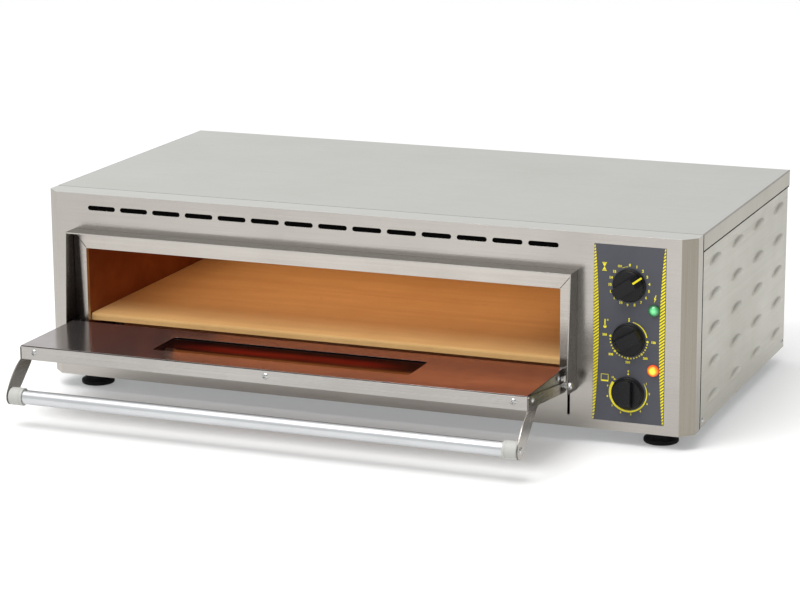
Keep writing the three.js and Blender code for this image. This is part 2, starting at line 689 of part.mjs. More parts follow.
function handleTube() {
  const half = ARM_INNER - 8;
  const wall = 1.5;
  const profile = [
    [HANDLE_RADIUS - wall, -half], [HANDLE_RADIUS, -half], [HANDLE_RADIUS, half],
    [HANDLE_RADIUS - wall, half], [HANDLE_RADIUS - wall, -half],
  ];
  return turned(profile, 32).rotateY(Math.PI / 2).translate(0, -HANDLE_OUT, -HANDLE_DROP);
}

// A cup over each end of the handle, closed towards the arm.
function handleCap(side) {
  const mouth = HANDLE_RADIUS + 0.3;
  const r = CAP_RADIUS;
  const profile = [
    [0, 0], [r - 1, 0], [r, 1], [r, CAP_LENGTH - 1], [r - 0.8, CAP_LENGTH],
    [mouth, CAP_LENGTH], [mouth, 7], [0, 7],
  ];
  const cap = turned(profile, 32).rotateY(side > 0 ? -Math.PI / 2 : Math.PI / 2);
  return cap.translate(side * (ARM_INNER - 0.3), -HANDLE_OUT, -HANDLE_DROP);
}

// The pin stands in the cheek under a domed nut, and the arm turns on its inner end.
function hingePin(side) {
  const cheekFace = HOOD_WIDTH / 2 + 0.3;
  const start = ARM_INNER + 0.2;
  const profile = [
    [0, start], [PIN_RADIUS, start], [PIN_RADIUS, cheekFace], [5.6, cheekFace], [5.6, cheekFace + 2],
    [4.9, cheekFace + 3.6], [3, cheekFace + 4.8], [0, cheekFace + 5.2],
  ];
  const pin = turned(profile).rotateY(side * Math.PI / 2);
  return pin.translate(OVEN_X, HINGE_Y, HINGE_Z);
}

// A tension spring from the lever's end down to a tab on the base.
function doorSpring(side) {
  const x = OVEN_X + side * LEVER_X;
  const head = new THREE.Vector3(x, HINGE_Y + LEVER_REACH, HINGE_Z + LEVER_MIDDLE - LEVER_WIDTH / 2 - 1.6);
  const tail = new THREE.Vector3(x, SPRING_FOOT.y + 1, SPRING_FOOT.z + 1.6);
  const axis = tail.clone().sub(head);
  const length = axis.length();
  axis.normalize();
  const across = new THREE.Vector3(1, 0, 0);
  const around = new THREE.Vector3().crossVectors(axis, across);
  const turns = 7;
  const hook = 0.18;
  const points = [head.clone()];
  for (let i = 0; i <= turns * 8; i += 1) {
    const part = i / (turns * 8);
    const angle = part * turns * 2 * Math.PI;
    points.push(head.clone()
      .addScaledVector(axis, length * (hook + (1 - 2 * hook) * part))
      .addScaledVector(across, 3.8 * Math.cos(angle))
      .addScaledVector(around, 3.8 * Math.sin(angle)));
  }
  points.push(tail);
  return bentRod(points.map((p) => p.toArray()), 0.8, turns * 8 + 8, 2);
}

// ---------------------------------------------------------------- the assembly

place(cabinet, 'front_fascia', frontFascia(), BRUSHED);
place(cabinet, 'top_cover', topCover(), BRUSHED);
place(cabinet, 'left_side_panel', sidePanel(-1), BRUSHED);
place(cabinet, 'right_side_panel', sidePanel(1), BRUSHED);
place(cabinet, 'rear_panel', rearPanel(), BRUSHED);
place(cabinet, 'base_plate', basePlate(), GALVANISED);
place(cabinet, 'door_surround', doorSurround(), BRUSHED);
place(cabinet, 'opening_bezel', openingBezel(), BRUSHED);

place(cabinet, 'chamber_liner', chamberLiner(), ALUMINISED);
place(cabinet, 'baking_stone', bakingStone(), REFRACTORY);
for (const [name, side] of SIDES) {
  place(cabinet, `stone_rail_${name}`, stoneRail(side), ALUMINISED);
}
for (const [level, z] of Object.entries(ELEMENT_Z)) {
  ELEMENT_Y.forEach((y, i) => place(cabinet, `${level}_element_${i + 1}`, quartzElement(y, z), CERAMIC));
}
insulation();

place(cabinet, 'control_partition', controlPartition(), GALVANISED);
place(cabinet, 'control_label', controlLabel(), PRINTED);
controls();
for (const { name, z, colour } of LAMPS) {
  place(cabinet, name, lamp(z), plain(colour, 0.2));
}
place(cabinet, 'thermostat_bulb', thermostatBulb(), BRASS);
place(cabinet, 'terminal_block', terminalBlock(), CERAMIC);
place(cabinet, 'cable_gland', cableGland(), BLACK_PLASTIC);
feet();

place(door, 'door_outer_skin', doorOuterSkin(), BRUSHED);
place(door, 'door_liner', doorLiner(), POLISHED);
place(door, 'window_glass', windowPrism(10, DOOR_INNER - 5.4, DOOR_INNER - 1.4, 3), GLASS);
place(door, 'window_retainer', cut(
  windowPrism(10, DOOR_OUTER + 1.6, DOOR_INNER - 5.8, 3), windowPrism(1.5, 0, 30)), BLACK_PLASTIC);
place(door, 'handle_tube', handleTube(), ALUMINIUM);
for (const [name, side] of SIDES) {
  place(door, `door_arm_${name}`, doorArm(side), BRUSHED);
  place(door, `hinge_lever_${name}`, hingeLever(side), ZINC);
  place(door, `handle_cap_${name}`, handleCap(side), GREY_PLASTIC);
  place(cabinet, `hinge_pin_${name}`, hingePin(side), ZINC);
  place(cabinet, `door_spring_${name}`, doorSpring(side), SPRING_STEEL);
}

export default oven;
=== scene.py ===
"""The looks of the countertop pizza oven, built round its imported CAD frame.

Everything is in metres in the row frame: +X right, +Y to the back, +Z up, the front faces -Y.
Lathe profiles and small outlines are in millimetres and are scaled where they are placed.
"""

import json
import math
import random

import bmesh
import bpy
from mathutils import Matrix, Vector


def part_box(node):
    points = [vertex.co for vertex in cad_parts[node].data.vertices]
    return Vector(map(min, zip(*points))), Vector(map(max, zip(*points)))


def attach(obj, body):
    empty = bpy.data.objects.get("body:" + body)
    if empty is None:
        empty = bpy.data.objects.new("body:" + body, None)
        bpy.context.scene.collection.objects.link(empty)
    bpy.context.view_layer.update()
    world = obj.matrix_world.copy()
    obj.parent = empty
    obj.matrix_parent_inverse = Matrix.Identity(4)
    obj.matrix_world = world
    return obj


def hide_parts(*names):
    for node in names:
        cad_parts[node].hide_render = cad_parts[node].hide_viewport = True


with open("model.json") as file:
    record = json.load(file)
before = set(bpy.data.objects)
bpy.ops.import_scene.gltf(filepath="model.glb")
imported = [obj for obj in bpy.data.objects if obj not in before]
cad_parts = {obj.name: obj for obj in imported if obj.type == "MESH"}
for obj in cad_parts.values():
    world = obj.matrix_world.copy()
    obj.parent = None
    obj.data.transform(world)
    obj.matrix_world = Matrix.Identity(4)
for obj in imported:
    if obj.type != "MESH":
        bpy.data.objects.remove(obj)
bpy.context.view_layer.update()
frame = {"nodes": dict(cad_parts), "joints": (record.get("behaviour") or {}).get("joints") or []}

MM = 0.001
SIDES = (("left", -1), ("right", 1))
DIALS = ("timer", "thermostat", "regulator")
RNG = random.Random(7)

# ---- places, from the frame

JOINTS = {joint["name"]: Vector(joint["pos_m"]) for joint in frame["joints"]}
HINGE = JOINTS["door_hinge"]
CASING_LOW, CASING_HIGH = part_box("front_fascia")
LABEL_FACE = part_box("control_label")[0].y
PANEL_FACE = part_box("rear_panel")[1].x


def middle(node):
    low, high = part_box(node)
    return (low + high) / 2


def size_of(node):
    """A node's width, depth and height, in millimetres."""
    low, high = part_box(node)
    return (high - low) / MM


def end_of(node, side):
    """The x of a node's left end (side -1) or right end (side 1)."""
    low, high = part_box(node)
    return high.x if side > 0 else low.x


# ---- shader building

def feed(made, socket, value):
    """Another node's socket is linked, any other value is set; a colour gets its alpha here."""
    if isinstance(value, bpy.types.NodeSocket):
        made.node_tree.links.new(value, socket)
    else:
        socket.default_value = (*value, 1) if socket.type == "RGBA" else value


def add(made, kind, inputs=None, **settings):
    node = made.node_tree.nodes.new("ShaderNode" + kind)
    for key, value in settings.items():
        setattr(node, key, value)
    for key, value in (inputs or {}).items():
        feed(made, node.inputs[key], value)
    return node


def start(name, colour, roughness, metallic=0.0, **constants):
    """A material with a Principled shader; constants go straight on its sockets."""
    made = bpy.data.materials.new(name)
    made.use_nodes = True
    shader = made.node_tree.nodes["Principled BSDF"]
    constants.update(Base_Color=colour, Roughness=roughness, Metallic=metallic)
    for key, value in constants.items():
        feed(made, shader.inputs[key.replace("_", " ")], value)
    return made, shader


def place_of(made):
    return add(made, "TexCoord").outputs["Object"]


def split(made, vector):
    """The X, Y and Z of a vector, by name."""
    return add(made, "SeparateXYZ", {"Vector": vector}).outputs


def from_middle(made, node):
    """How far a place lies from the middle of a CAD node, as a vector."""
    inputs = {0: place_of(made), 1: middle(node)}
    return add(made, "VectorMath", inputs, operation="SUBTRACT").outputs["Vector"]


def noise(made, scale, detail=3.0, rough=0.55, where=None):
    """Noise in metres; a scale of three numbers stretches it along its smallest one."""
    stretch = scale if isinstance(scale, tuple) else (scale, scale, scale)
    mapping = add(made, "Mapping", {"Vector": where or place_of(made), "Scale": stretch})
    inputs = {"Vector": mapping.outputs["Vector"], "Scale": 1.0, "Detail": detail, "Roughness": rough}
    return add(made, "TexNoise", inputs).outputs["Fac"]


def spread(made, value, low=0.0, high=1.0, start_at=0.3, end_at=0.7):
    """Runs from low to high while the value runs from start_at to end_at."""
    inputs = {"Value": value, "From Min": start_at, "From Max": end_at, "To Min": low, "To Max": high}
    return add(made, "MapRange", inputs).outputs["Result"]


def blend(made, share, first, second):
    """A colour between two others, by share; the Mix node's colour sockets are 6 and 7."""
    return add(made, "Mix", {0: share, 6: first, 7: second}, data_type="RGBA").outputs[2]


def paint(made, shader, share, first, second):
    """The base colour, from one tone to another."""
    feed(made, shader.inputs["Base Color"], blend(made, share, first, second))


def mottle(made, shader, share, other):
    """The base colour that start() gave, mottled with another tone."""
    paint(made, shader, share, shader.inputs["Base Color"].default_value[:3], other)


def roughen(made, shader, value, low, high):
    """The roughness follows a value, from low to high."""
    feed(made, shader.inputs["Roughness"], spread(made, value, low, high))


def sums(made, operation, first, second=0.0):
    return add(made, "Math", {0: first, 1: second}, operation=operation).outputs["Value"]


def bump(made, shader, height, depth, strength=1.0):
    node = add(made, "Bump", {"Height": height, "Distance": depth, "Strength": strength})
    made.node_tree.links.new(node.outputs["Normal"], shader.inputs["Normal"])


# ---- metals

# How fine the streaks are along each axis, by the axis that the grain runs along.
GRAIN = {
    "x": (7.0, 1500.0, 1500.0),
    "y": (1500.0, 7.0, 1500.0),
    "z": (1500.0, 1500.0, 7.0),
}


def looks_along(made, axis):
    """1 on faces that look along an axis, either way, and 0 on the others."""
    normal = add(made, "TexCoord").outputs["Normal"]
    share = sums(made, "ABSOLUTE", split(made, normal)[axis])
    return spread(made, share, 0.0, 1.0, 0.35, 0.65)


def facing_sideways(made):
    return looks_along(made, "X")


def facing_up(made):
    return looks_along(made, "Z")


def cheek_sides(made):
    """Where the surround's cheeks get painted shade: like facing_sideways, a little weaker on the left
    cheek.
    """
    weight = spread(made, split(made, place_of(made))["X"], 0.78, 1.0, -0.3, 0.2)
    return sums(made, "MULTIPLY", facing_sideways(made), weight)


def side_bends(made):
    """1 along the two bends of the cover, where a dark line of painted shade runs along the crease."""
    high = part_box("top_cover")[1]
    place = split(made, place_of(made))
    outward = sums(made, "ABSOLUTE", place["X"])
    near = spread(made, outward, 0.0, 1.0, high.x - 1.6 * MM, high.x - 0.4 * MM)
    raised = spread(made, place["Z"], 0.0, 1.0, high.z - 2.6 * MM, high.z - 1.2 * MM)
    return sums(made, "MULTIPLY", near, raised)


def beside_left_cheek(made):
    """Where the bezel's left strip gets painted shade: 1 next to the cheek, 0 on its inner edge and
    everywhere else.
    """
    low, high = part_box("opening_bezel")
    place = split(made, place_of(made))
    inward = sums(made, "SUBTRACT", place["X"], low.x)
    down = sums(made, "SUBTRACT", high.z, place["Z"])
    widening = sums(made, "MULTIPLY", down, 0.045)
    near = spread(made, sums(made, "SUBTRACT", inward, widening), 1.0, 0.0, 6.5 * MM, 8.5 * MM)
    return sums(made, "MULTIPLY", sums(made, "GREATER_THAN", down, inward), near)


DULL = 0.4
SCRATCH = 0.00004  # depth of the brush marks, in metres


def brushed(name, light, dark, grain, roughness, flank=None, where_flank_shading=facing_sideways,
            painted_light_tone=None, where_painted_light=facing_up):
    """Brushed sheet: fine streaks along the grain, broad smudges and a few soft stains.
    The flank has an upright grain and a tone of its own, painted shading for how light falls on
    those faces; the part picked out for painted light gets one more painted tone for the light and
    shade there, and is roughened to about DULL."""
    made, shader = start(name, light, roughness, 1.0)
    streak = noise(made, GRAIN[grain], 4.0, 0.65)
    smudge = noise(made, 6.0, 4.0, 0.6)
    stain = noise(made, 23.0, 2.0)
    shade = sums(made, "ADD", spread(made, streak, 0.0, 0.55), spread(made, smudge, 0.0, 0.45))
    tone = blend(made, shade, light, dark)
    # The flank tone is painted shading for how light falls on those faces, with an upright grain.
    if flank:
        upright = noise(made, GRAIN["z"], 4.0, 0.65)
        deeper = tuple(0.8 * c for c in flank)
        grained = blend(made, spread(made, upright), flank, deeper)
        tone = blend(made, where_flank_shading(made), tone, grained)
    rough = sums(made, "ADD", spread(made, streak, roughness - 0.05, roughness + 0.06),
                 spread(made, smudge, -0.03, 0.05))
    rough = sums(made, "ADD", rough, spread(made, stain, 0.0, 0.03, 0.5, 0.8))
    # One more painted tone: painted light on the fascia's top faces, painted shade along the cover's bends.
    if painted_light_tone:
        there = where_painted_light(made)
        tone = blend(made, there, tone, painted_light_tone)
        rough = sums(made, "ADD", rough, sums(made, "MULTIPLY", there, max(0.0, DULL - roughness)))
    feed(made, shader.inputs["Base Color"], tone)
    feed(made, shader.inputs["Roughness"], rough)
    bump(made, shader, streak, SCRATCH)
    return made


def bright_sheet(name):
    """The door's inner face: nearly a mirror, with fine rubbing marks, a faint heat tint and an
    oily film. The faces that don't look up, the cut edges round the window, are painted nearly black."""
    made, shader = start(name, (0.45, 0.43, 0.41), 0.12, 0.94)
    rubbing = noise(made, GRAIN["x"], 3.0)
    wiped = noise(made, 9.0, 5.0, 0.65)
    tint = blend(made, spread(made, wiped), (0.46, 0.43, 0.42), (0.38, 0.335, 0.32))
    paint(made, shader, facing_up(made), (0.02, 0.017, 0.015), tint)
    rough = sums(made, "ADD", spread(made, rubbing, 0.09, 0.15), spread(made, wiped, 0.0, 0.07))
    feed(made, shader.inputs["Roughness"], rough)
    bump(made, shader, rubbing, 0.000012)
    return made


def baked_sheet(name):
    """Aluminised steel inside the chamber, browned by use."""
    made, shader = start(name, (0.27, 0.070, 0.015), 0.5, 0.6)
    cloud = noise(made, 11.0, 5.0, 0.6)
    specks = noise(made, 420.0, 2.0)
    mottle(made, shader, spread(made, cloud), (0.16, 0.038, 0.008))
    roughen(made, shader, cloud, 0.42, 0.6)
    bump(made, shader, specks, 0.00003)
    return made


def zinc_sheet(name):
    """Hot-dip zinc: crystals of slightly different greys."""
    made, shader = start(name, (0.56, 0.57, 0.58), 0.5, 0.9)
    cells = add(made, "TexVoronoi", {"Vector": place_of(made), "Scale": 95.0})
    grey = add(made, "SeparateColor", {"Color": cells.outputs["Color"]}).outputs["Red"]
    mottle(made, shader, grey, (0.40, 0.41, 0.43))
    feed(made, shader.inputs["Roughness"], spread(made, grey, 0.42, 0.6, 0.0, 1.0))
    bump(made, shader, grey, 0.00002)
    return made


def plated(name, colour, roughness):
    """Small turned or pressed metal: plating that dulls in patches."""
    made, shader = start(name, colour, roughness, 1.0)
    dull = noise(made, 260.0, 3.0)
    mottle(made, shader, spread(made, dull), tuple(0.72 * c for c in colour))
    roughen(made, shader, dull, roughness - 0.05, roughness + 0.15)
    bump(made, shader, noise(made, 1800.0, 2.0), 0.00001)
    return made


def satin_aluminium(name):
    """Anodised tube, drawn lengthwise."""
    made, shader = start(name, (0.58, 0.59, 0.60), 0.34, 0.92)
    drawn = noise(made, GRAIN["x"], 3.0)
    handled = noise(made, 14.0, 3.0)
    mottle(made, shader, spread(made, handled), (0.52, 0.53, 0.54))
    roughen(made, shader, drawn, 0.26, 0.38)
    bump(made, shader, drawn, 0.00002)
    return made


# ---- plastics and the rest

def moulded(name, colour, roughness, grain_size=1500.0, depth=0.00002, worn=0.25, shine=0.5):
    """Moulded plastic with a fine spark-eroded grain, a little paler where it is handled."""
    made, shader = start(name, colour, roughness, Specular_IOR_Level=shine)
    grain = noise(made, grain_size, 2.0)
    rubbed = noise(made, 60.0, 3.0)
    mottle(made, shader, spread(made, rubbed), tuple(c + worn * (0.5 - c) * 0.25 for c in colour))
    roughen(made, shader, rubbed, roughness - 0.06, roughness + 0.08)
    bump(made, shader, grain, depth)
    return made


def label_film(name):
    """Printed film with a fine tooth, a little paler where it is handled."""
    made, shader = start(name, (0.058, 0.060, 0.072), 0.42, Specular_IOR_Level=0.3)
    tooth = noise(made, 2600.0, 2.0)
    handled = noise(made, 30.0, 3.0)
    mottle(made, shader, spread(made, handled), (0.068, 0.070, 0.083))
    roughen(made, shader, handled, 0.36, 0.5)
    bump(made, shader, tooth, 0.000015)
    return made


def ink(name, colour):
    """Screen print, slightly worn in specks."""
    made, shader = start(name, colour, 0.5)
    worn = noise(made, 700.0, 3.0)
    mottle(made, shader, spread(made, worn, 0.0, 1.0, 0.55, 0.8), tuple(0.8 * c for c in colour))
    roughen(made, shader, worn, 0.42, 0.58)
    return made


def hatched_ink(name):
    """Yellow with fine slanted lines of darker green-brown."""
    made, shader = start(name, (0.80, 0.67, 0.003), 0.5)
    turned = add(made, "Mapping", {"Vector": place_of(made), "Rotation": (0, math.radians(38), 0)})
    lines = add(made, "TexWave", {"Vector": turned.outputs["Vector"], "Scale": 98.0},
                wave_type="BANDS", bands_direction="Z")
    share = spread(made, lines.outputs["Fac"], 0.0, 1.0, 0.5, 0.7)
    mottle(made, shader, share, (0.10, 0.09, 0.02))
    return made


def refractory(name):
    """Fine pressed grain, toasted patches, long darker streaks and a few crumbs burnt in."""
    made, shader = start(name, (0.72, 0.45, 0.17), 0.85)
    toast = noise(made, 7.0, 6.0, 0.62)
    grain = noise(made, 900.0, 3.0, 0.7)
    crumbs = noise(made, 190.0, 2.0)
    streak = noise(made, (3.0, 60.0, 3.0), 5.0, 0.7)
    ground = blend(made, spread(made, toast), (0.72, 0.45, 0.17), (0.60, 0.35, 0.12))
    ground = blend(made, spread(made, streak, 0.0, 0.6), ground, (0.50, 0.27, 0.09))
    ground = blend(made, spread(made, grain, 0.0, 0.35), ground, (0.40, 0.26, 0.13))
    paint(made, shader, spread(made, crumbs, 0.0, 0.6, 0.72, 0.8), ground, (0.12, 0.06, 0.03))
    roughen(made, shader, grain, 0.75, 0.95)
    bump(made, shader, grain, 0.0003, 0.8)
    return made


def wool(name):
    """Matted mineral fibres."""
    made, shader = start(name, (0.11, 0.10, 0.075), 1.0)
    fibres = noise(made, (260.0, 60.0, 340.0), 6.0, 0.75)
    mottle(made, shader, spread(made, fibres), (0.05, 0.042, 0.03))
    bump(made, shader, fibres, 0.002)
    return made


def unglazed(name):
    """Chalky ceramic, stained by heat."""
    made, shader = start(name, (0.82, 0.79, 0.70), 0.8)
    chalk = noise(made, 500.0, 3.0)
    mottle(made, shader, spread(made, chalk), (0.66, 0.60, 0.49))
    bump(made, shader, chalk, 0.00006)
    return made


def smoked_glass(name):
    """Dark toughened glass with faint wipe marks, and a soft bar of painted red glow, emitted by the glass
    itself, for the elements' glow seen in it.
    """
    made, shader = start(name, (0.004, 0.002, 0.002), 0.03, Specular_IOR_Level=0.08,
                         Emission_Color=(1.0, 0.05, 0.015))
    wiped = noise(made, (12.0, 120.0, 12.0), 4.0)
    roughen(made, shader, wiped, 0.015, 0.07)
    offset = split(made, from_middle(made, "window_glass"))
    across = spread(made, sums(made, "ABSOLUTE", offset["Y"]), 0.14, 0.0, 4 * MM, 19 * MM)
    along = spread(made, sums(made, "ABSOLUTE", offset["X"]), 1.0, 0.0, 100 * MM, 165 * MM)
    uneven = spread(made, noise(made, (9.0, 40.0, 9.0), 2.0), 0.45, 1.0)
    painted_glow = sums(made, "MULTIPLY", sums(made, "MULTIPLY", across, along), uneven)
    feed(made, shader.inputs["Emission Strength"], painted_glow)
    return made


def glowing_quartz(name, strength):
    """A quartz tube lit by the coil inside it: turns of the coil show as brighter bands."""
    made, shader = start(name, (0.85, 0.45, 0.25), 0.3, Emission_Strength=strength)
    coil = add(made, "TexWave", {"Vector": place_of(made), "Scale": 90.0}, wave_type="BANDS",
               bands_direction="X")
    heat = blend(made, coil.outputs["Fac"], (1.0, 0.16, 0.02), (1.0, 0.42, 0.10))
    feed(made, shader.inputs["Emission Color"], heat)
    return made


def lit_lens(name, node, hot, rim, strength):
    """A moulded lens that is brightest in its middle."""
    made, shader = start(name, rim, 0.12, IOR=1.5, Coat_Weight=0.5)
    inputs = {0: from_middle(made, node), 1: (1, 0, 1)}
    flat = add(made, "VectorMath", inputs, operation="MULTIPLY").outputs["Vector"]
    reach = add(made, "VectorMath", {0: flat}, operation="LENGTH").outputs["Value"]
    share = spread(made, reach, 1.0, 0.0, 0.001, 0.0072)
    facets = add(made, "TexVoronoi", {"Vector": place_of(made), "Scale": 420.0}).outputs["Distance"]
    tone = blend(made, share, rim, hot)
    feed(made, shader.inputs["Base Color"], tone)
    feed(made, shader.inputs["Emission Color"], tone)
    glow = sums(made, "MULTIPLY", sums(made, "POWER", share, 1.2), strength)
    feed(made, shader.inputs["Emission Strength"], sums(made, "ADD", glow, 0.12))
    bump(made, shader, facets, 0.0004, 0.7)
    return made


# WARM is the fascia's own tone and COOL the cover's top; COOL is also painted on the fascia's top faces as
# painted light. The bevel tone is painted shade on the fascia's sideways faces and bevels, and SHADE is
# painted shade on the bezel's left strip.
WARM, COOL = (0.44, 0.417, 0.387), (0.68, 0.68, 0.64)
BEVEL_SHADE, SHADE = (0.345, 0.312, 0.264), (0.09, 0.076, 0.07)

MATERIAL = {
    # The fascia: painted shade on its sideways faces and bevels, painted light on its top faces.
    "fascia": brushed("fascia_steel", WARM, (0.36, 0.338, 0.312), "x", 0.17, flank=BEVEL_SHADE, painted_light_tone=COOL),
    # The cover: painted shade on its sideways lip faces, and a painted dark line along its bends.
    "cover": brushed("cover_steel", COOL, (0.59, 0.585, 0.545), "x", 0.40,
                     flank=(0.47, 0.445, 0.385), painted_light_tone=(0.26, 0.24, 0.21), where_painted_light=side_bends),
    "panel": brushed("panel_steel", (0.47, 0.455, 0.40), (0.41, 0.395, 0.34), "y", 0.36),
    # The surround: its cheeks are painted nearly black, painted shade for the dark they reflect.
    "surround": brushed("surround_steel", (0.47, 0.45, 0.42), (0.38, 0.36, 0.33), "x", 0.24,
                        flank=(0.06, 0.05, 0.041), where_flank_shading=cheek_sides),
    # The bezel: painted shade on its left strip next to the cheek, the dark cheek seen reflected there.
    "bezel": brushed("bezel_steel", (0.49, 0.46, 0.425), (0.41, 0.38, 0.345), "x", 0.20, flank=SHADE,
                     where_flank_shading=beside_left_cheek),
    "door": brushed("door_steel", (0.42, 0.40, 0.38), (0.34, 0.323, 0.305), "x", 0.26),
    # The arm: its cut edges are painted dark, painted shade in place of their highlight; its side faces get
    # the lighter flank tone.
    "arm": brushed("arm_steel", (0.20, 0.185, 0.17), (0.12, 0.11, 0.10), "y", 0.22,
                   flank=(0.42, 0.395, 0.36)),
    "liner": bright_sheet("liner_steel"),
    "chamber": baked_sheet("chamber_steel"),
    "zinc_sheet": zinc_sheet("zinc_sheet"),
    "zinc": plated("zinc_plate", (0.62, 0.62, 0.61), 0.18),
    "spring": plated("spring_wire", (0.36, 0.36, 0.37), 0.35),
    "brass": plated("turned_brass", (0.66, 0.50, 0.26), 0.28),
    "aluminium": satin_aluminium("satin_aluminium"),
    "black": moulded("black_plastic", (0.004, 0.004, 0.005), 0.3, worn=0.02, shine=0.22),
    "grey": moulded("grey_plastic", (0.40, 0.40, 0.375), 0.6, 700.0, 0.0001),
    "rubber": moulded("black_rubber", (0.004, 0.004, 0.004), 0.75, 900.0, 0.00008, 0.02, 0.2),
    "film": label_film("label_film"),
    "ink": ink("yellow_ink", (0.78, 0.68, 0.01)),
    "hatch": hatched_ink("hatched_ink"),
    # Black for the painted shade in the casing's gaps and behind the vents, and for the bezel's mitre
    # joints.
    "dark": moulded("dark_gap", (0.0015, 0.0013, 0.0012), 0.9, worn=0.002, shine=0.02),
    "stone": refractory("refractory_stone"),
    "wool": wool("mineral_wool"),
    "ceramic": unglazed("unglazed_ceramic"),
    "glass": smoked_glass("smoked_glass"),
    "upper_quartz": glowing_quartz("upper_quartz", 0.9),
    "lower_quartz": glowing_quartz("lower_quartz", 0.02),
    "green": lit_lens("green_lens", "power_lamp", (0.16, 0.74, 0.28), (0.0, 0.07, 0.02), 0.22),
    "amber": lit_lens("amber_lens", "heating_lamp", (1.0, 0.62, 0.03), (0.80, 0.07, 0.005), 1.7),
}

SHELLS = {
    "front_fascia": "fascia", "top_cover": "cover", "rear_panel": "panel", "door_surround": "surround",
    "opening_bezel": "bezel", "door_outer_skin": "door", "door_liner": "liner",
    "base_plate": "zinc_sheet", "control_partition": "zinc_sheet", "chamber_liner": "chamber",
    "baking_stone": "stone", "control_label": "film", "window_glass": "glass",
    "window_retainer": "black", "thermostat_bulb": "brass", "terminal_block": "ceramic",
}
for end in ("left", "right"):
    SHELLS["door_arm_" + end] = "arm"
    SHELLS["stone_rail_" + end] = "chamber"
    SHELLS["hinge_lever_" + end] = "zinc"
SHELLS.update({side + "_insulation": "wool" for side in ("top", "bottom", "rear", "left", "right")})
SHELLS.update({dial + "_body": "grey" for dial in DIALS})
SHELLS.update({dial + "_shaft": "brass" for dial in DIALS})

# How far the edges of the CAD sheets are rounded, in millimetres.
ROUNDED = {
    "front_fascia": 0.45, "top_cover": 0.5, "door_surround": 0.4, "opening_bezel": 0.3,
    "door_outer_skin": 0.4, "door_liner": 0.25, "door_arm_left": 0.4, "door_arm_right": 0.4,
    "baking_stone": 1.2, "rear_panel": 0.3, "hinge_lever_left": 0.3, "hinge_lever_right": 0.3,
}


def finish_cad_nodes():
    for node, material in SHELLS.items():
        mesh = frame["nodes"][node].data
        mesh.materials.clear()
        mesh.materials.append(MATERIAL[material])
    for node, width in ROUNDED.items():
        soften(frame["nodes"][node], width)


def round_edges(piece, width, segments, angle):
    """Rounds the edges that are sharper than an angle; the width is in millimetres."""
    rounding = piece.modifiers.new("rounding", "BEVEL")
    rounding.width = width * MM
    rounding.segments = segments
    rounding.angle_limit = math.radians(angle)
    return rounding


def soften(piece, width):
    """Rounds the folds and cut edges of a CAD node, without touching its mesh."""
    piece.modifiers.new("weld", "WELD").merge_threshold = 1e-6
    round_edges(piece, width, segments=2, angle=30)
    piece.modifiers.new("normals", "WEIGHTED_NORMAL").keep_sharp = False


# ---- mesh building

FRONT = Matrix.Rotation(math.radians(90), 4, "X")
BACK = Matrix.Rotation(math.pi, 4, "Z") @ FRONT
OUTWARD = {side: Matrix.Rotation(math.radians(90 * side), 4, "Z") @ FRONT for _, side in SIDES}
UP = Matrix.Identity(4)


def lying(side):
    """The turn that lays local Z down to the right (side 1) or to the left (side -1)."""
    return Matrix.Rotation(math.radians(90 * side), 4, "Y")


def stand(point, facing, spin=0.0):
    """Local Z looks the way the face does, local units are millimetres, at point."""
    turn = Matrix.Rotation(math.radians(spin), 4, "Z")
    return Matrix.Translation(point) @ facing @ turn @ Matrix.Scale(MM, 4)


def add_points(mesh, points, where=UP):
    """New points of a mesh, given in a local frame."""
    return [mesh.verts.new(where @ Vector(point)) for point in points]


def at_height(outline, height):
    return [(x, y, height) for x, y in outline]


def loft(mesh, rows, closed=True, material=0):
    """Faces from each row of points to the next; a row of one point is a tip."""
    for low, high in zip(rows, rows[1:]):
        count = max(len(low), len(high))
        for i in range(count if closed else count - 1):
            j = (i + 1) % count
            corners = [low[i % len(low)], low[j % len(low)], high[j % len(high)], high[i % len(high)]]
            corners = list(dict.fromkeys(corners))
            if len(corners) > 2:
                mesh.faces.new(corners).material_index = material


def lathe(mesh, profile, segments, where, material=0):
    """Turns (radius, height) pairs about local Z; a radius of 0 closes on the axis."""
    rings = []
    for radius, height in profile:
        outline = circle(radius, segments if radius > 0 else 1)
        rings.append(add_points(mesh, at_height(outline, height), where))
    loft(mesh, rings, material=material)


def plate(mesh, bottom, top, where=UP):
    """A closed body between two outlines in space with as many points each."""
    rows = [add_points(mesh, points, where) for points in (bottom, top)]
    mesh.faces.new(rows[0][::-1])
    mesh.faces.new(rows[1])
    loft(mesh, rows)


def prism(mesh, outline, low, high, where):
    """A closed prism: an outline in local X and Y from one height to another."""
    plate(mesh, at_height(outline, low), at_height(outline, high), where)


def arc(radius, first, last, steps, x=0.0, y=0.0):
    """Points on an arc; angles are in degrees, clockwise from up."""
    points = []
    for i in range(steps + 1):
        angle = math.radians(first + (last - first) * i / steps)
        points.append((x + radius * math.sin(angle), y + radius * math.cos(angle)))
    return points


def circle(radius, count, x=0.0, y=0.0):
    """So many points evenly round a circle, the first one straight up."""
    return arc(radius, 0, 360, count, x, y)[:-1]


def polar(reach, angle):
    """A point at a distance, in degrees clockwise from up."""
    return reach * math.sin(math.radians(angle)), reach * math.cos(math.radians(angle))


def tube(mesh, points, radius, sides):
    """A round bar along a line of points, with flat ends."""
    rings = []
    for i, point in enumerate(points):
        ahead = points[min(i + 1, len(points) - 1)] - points[max(i - 1, 0)]
        where = Matrix.Translation(point) @ ahead.to_track_quat("Z", "X").to_matrix().to_4x4()
        rings.append(add_points(mesh, at_height(circle(radius, sides), 0), where))
    loft(mesh, rings)
    mesh.faces.new(rings[0][::-1])
    mesh.faces.new(rings[-1])


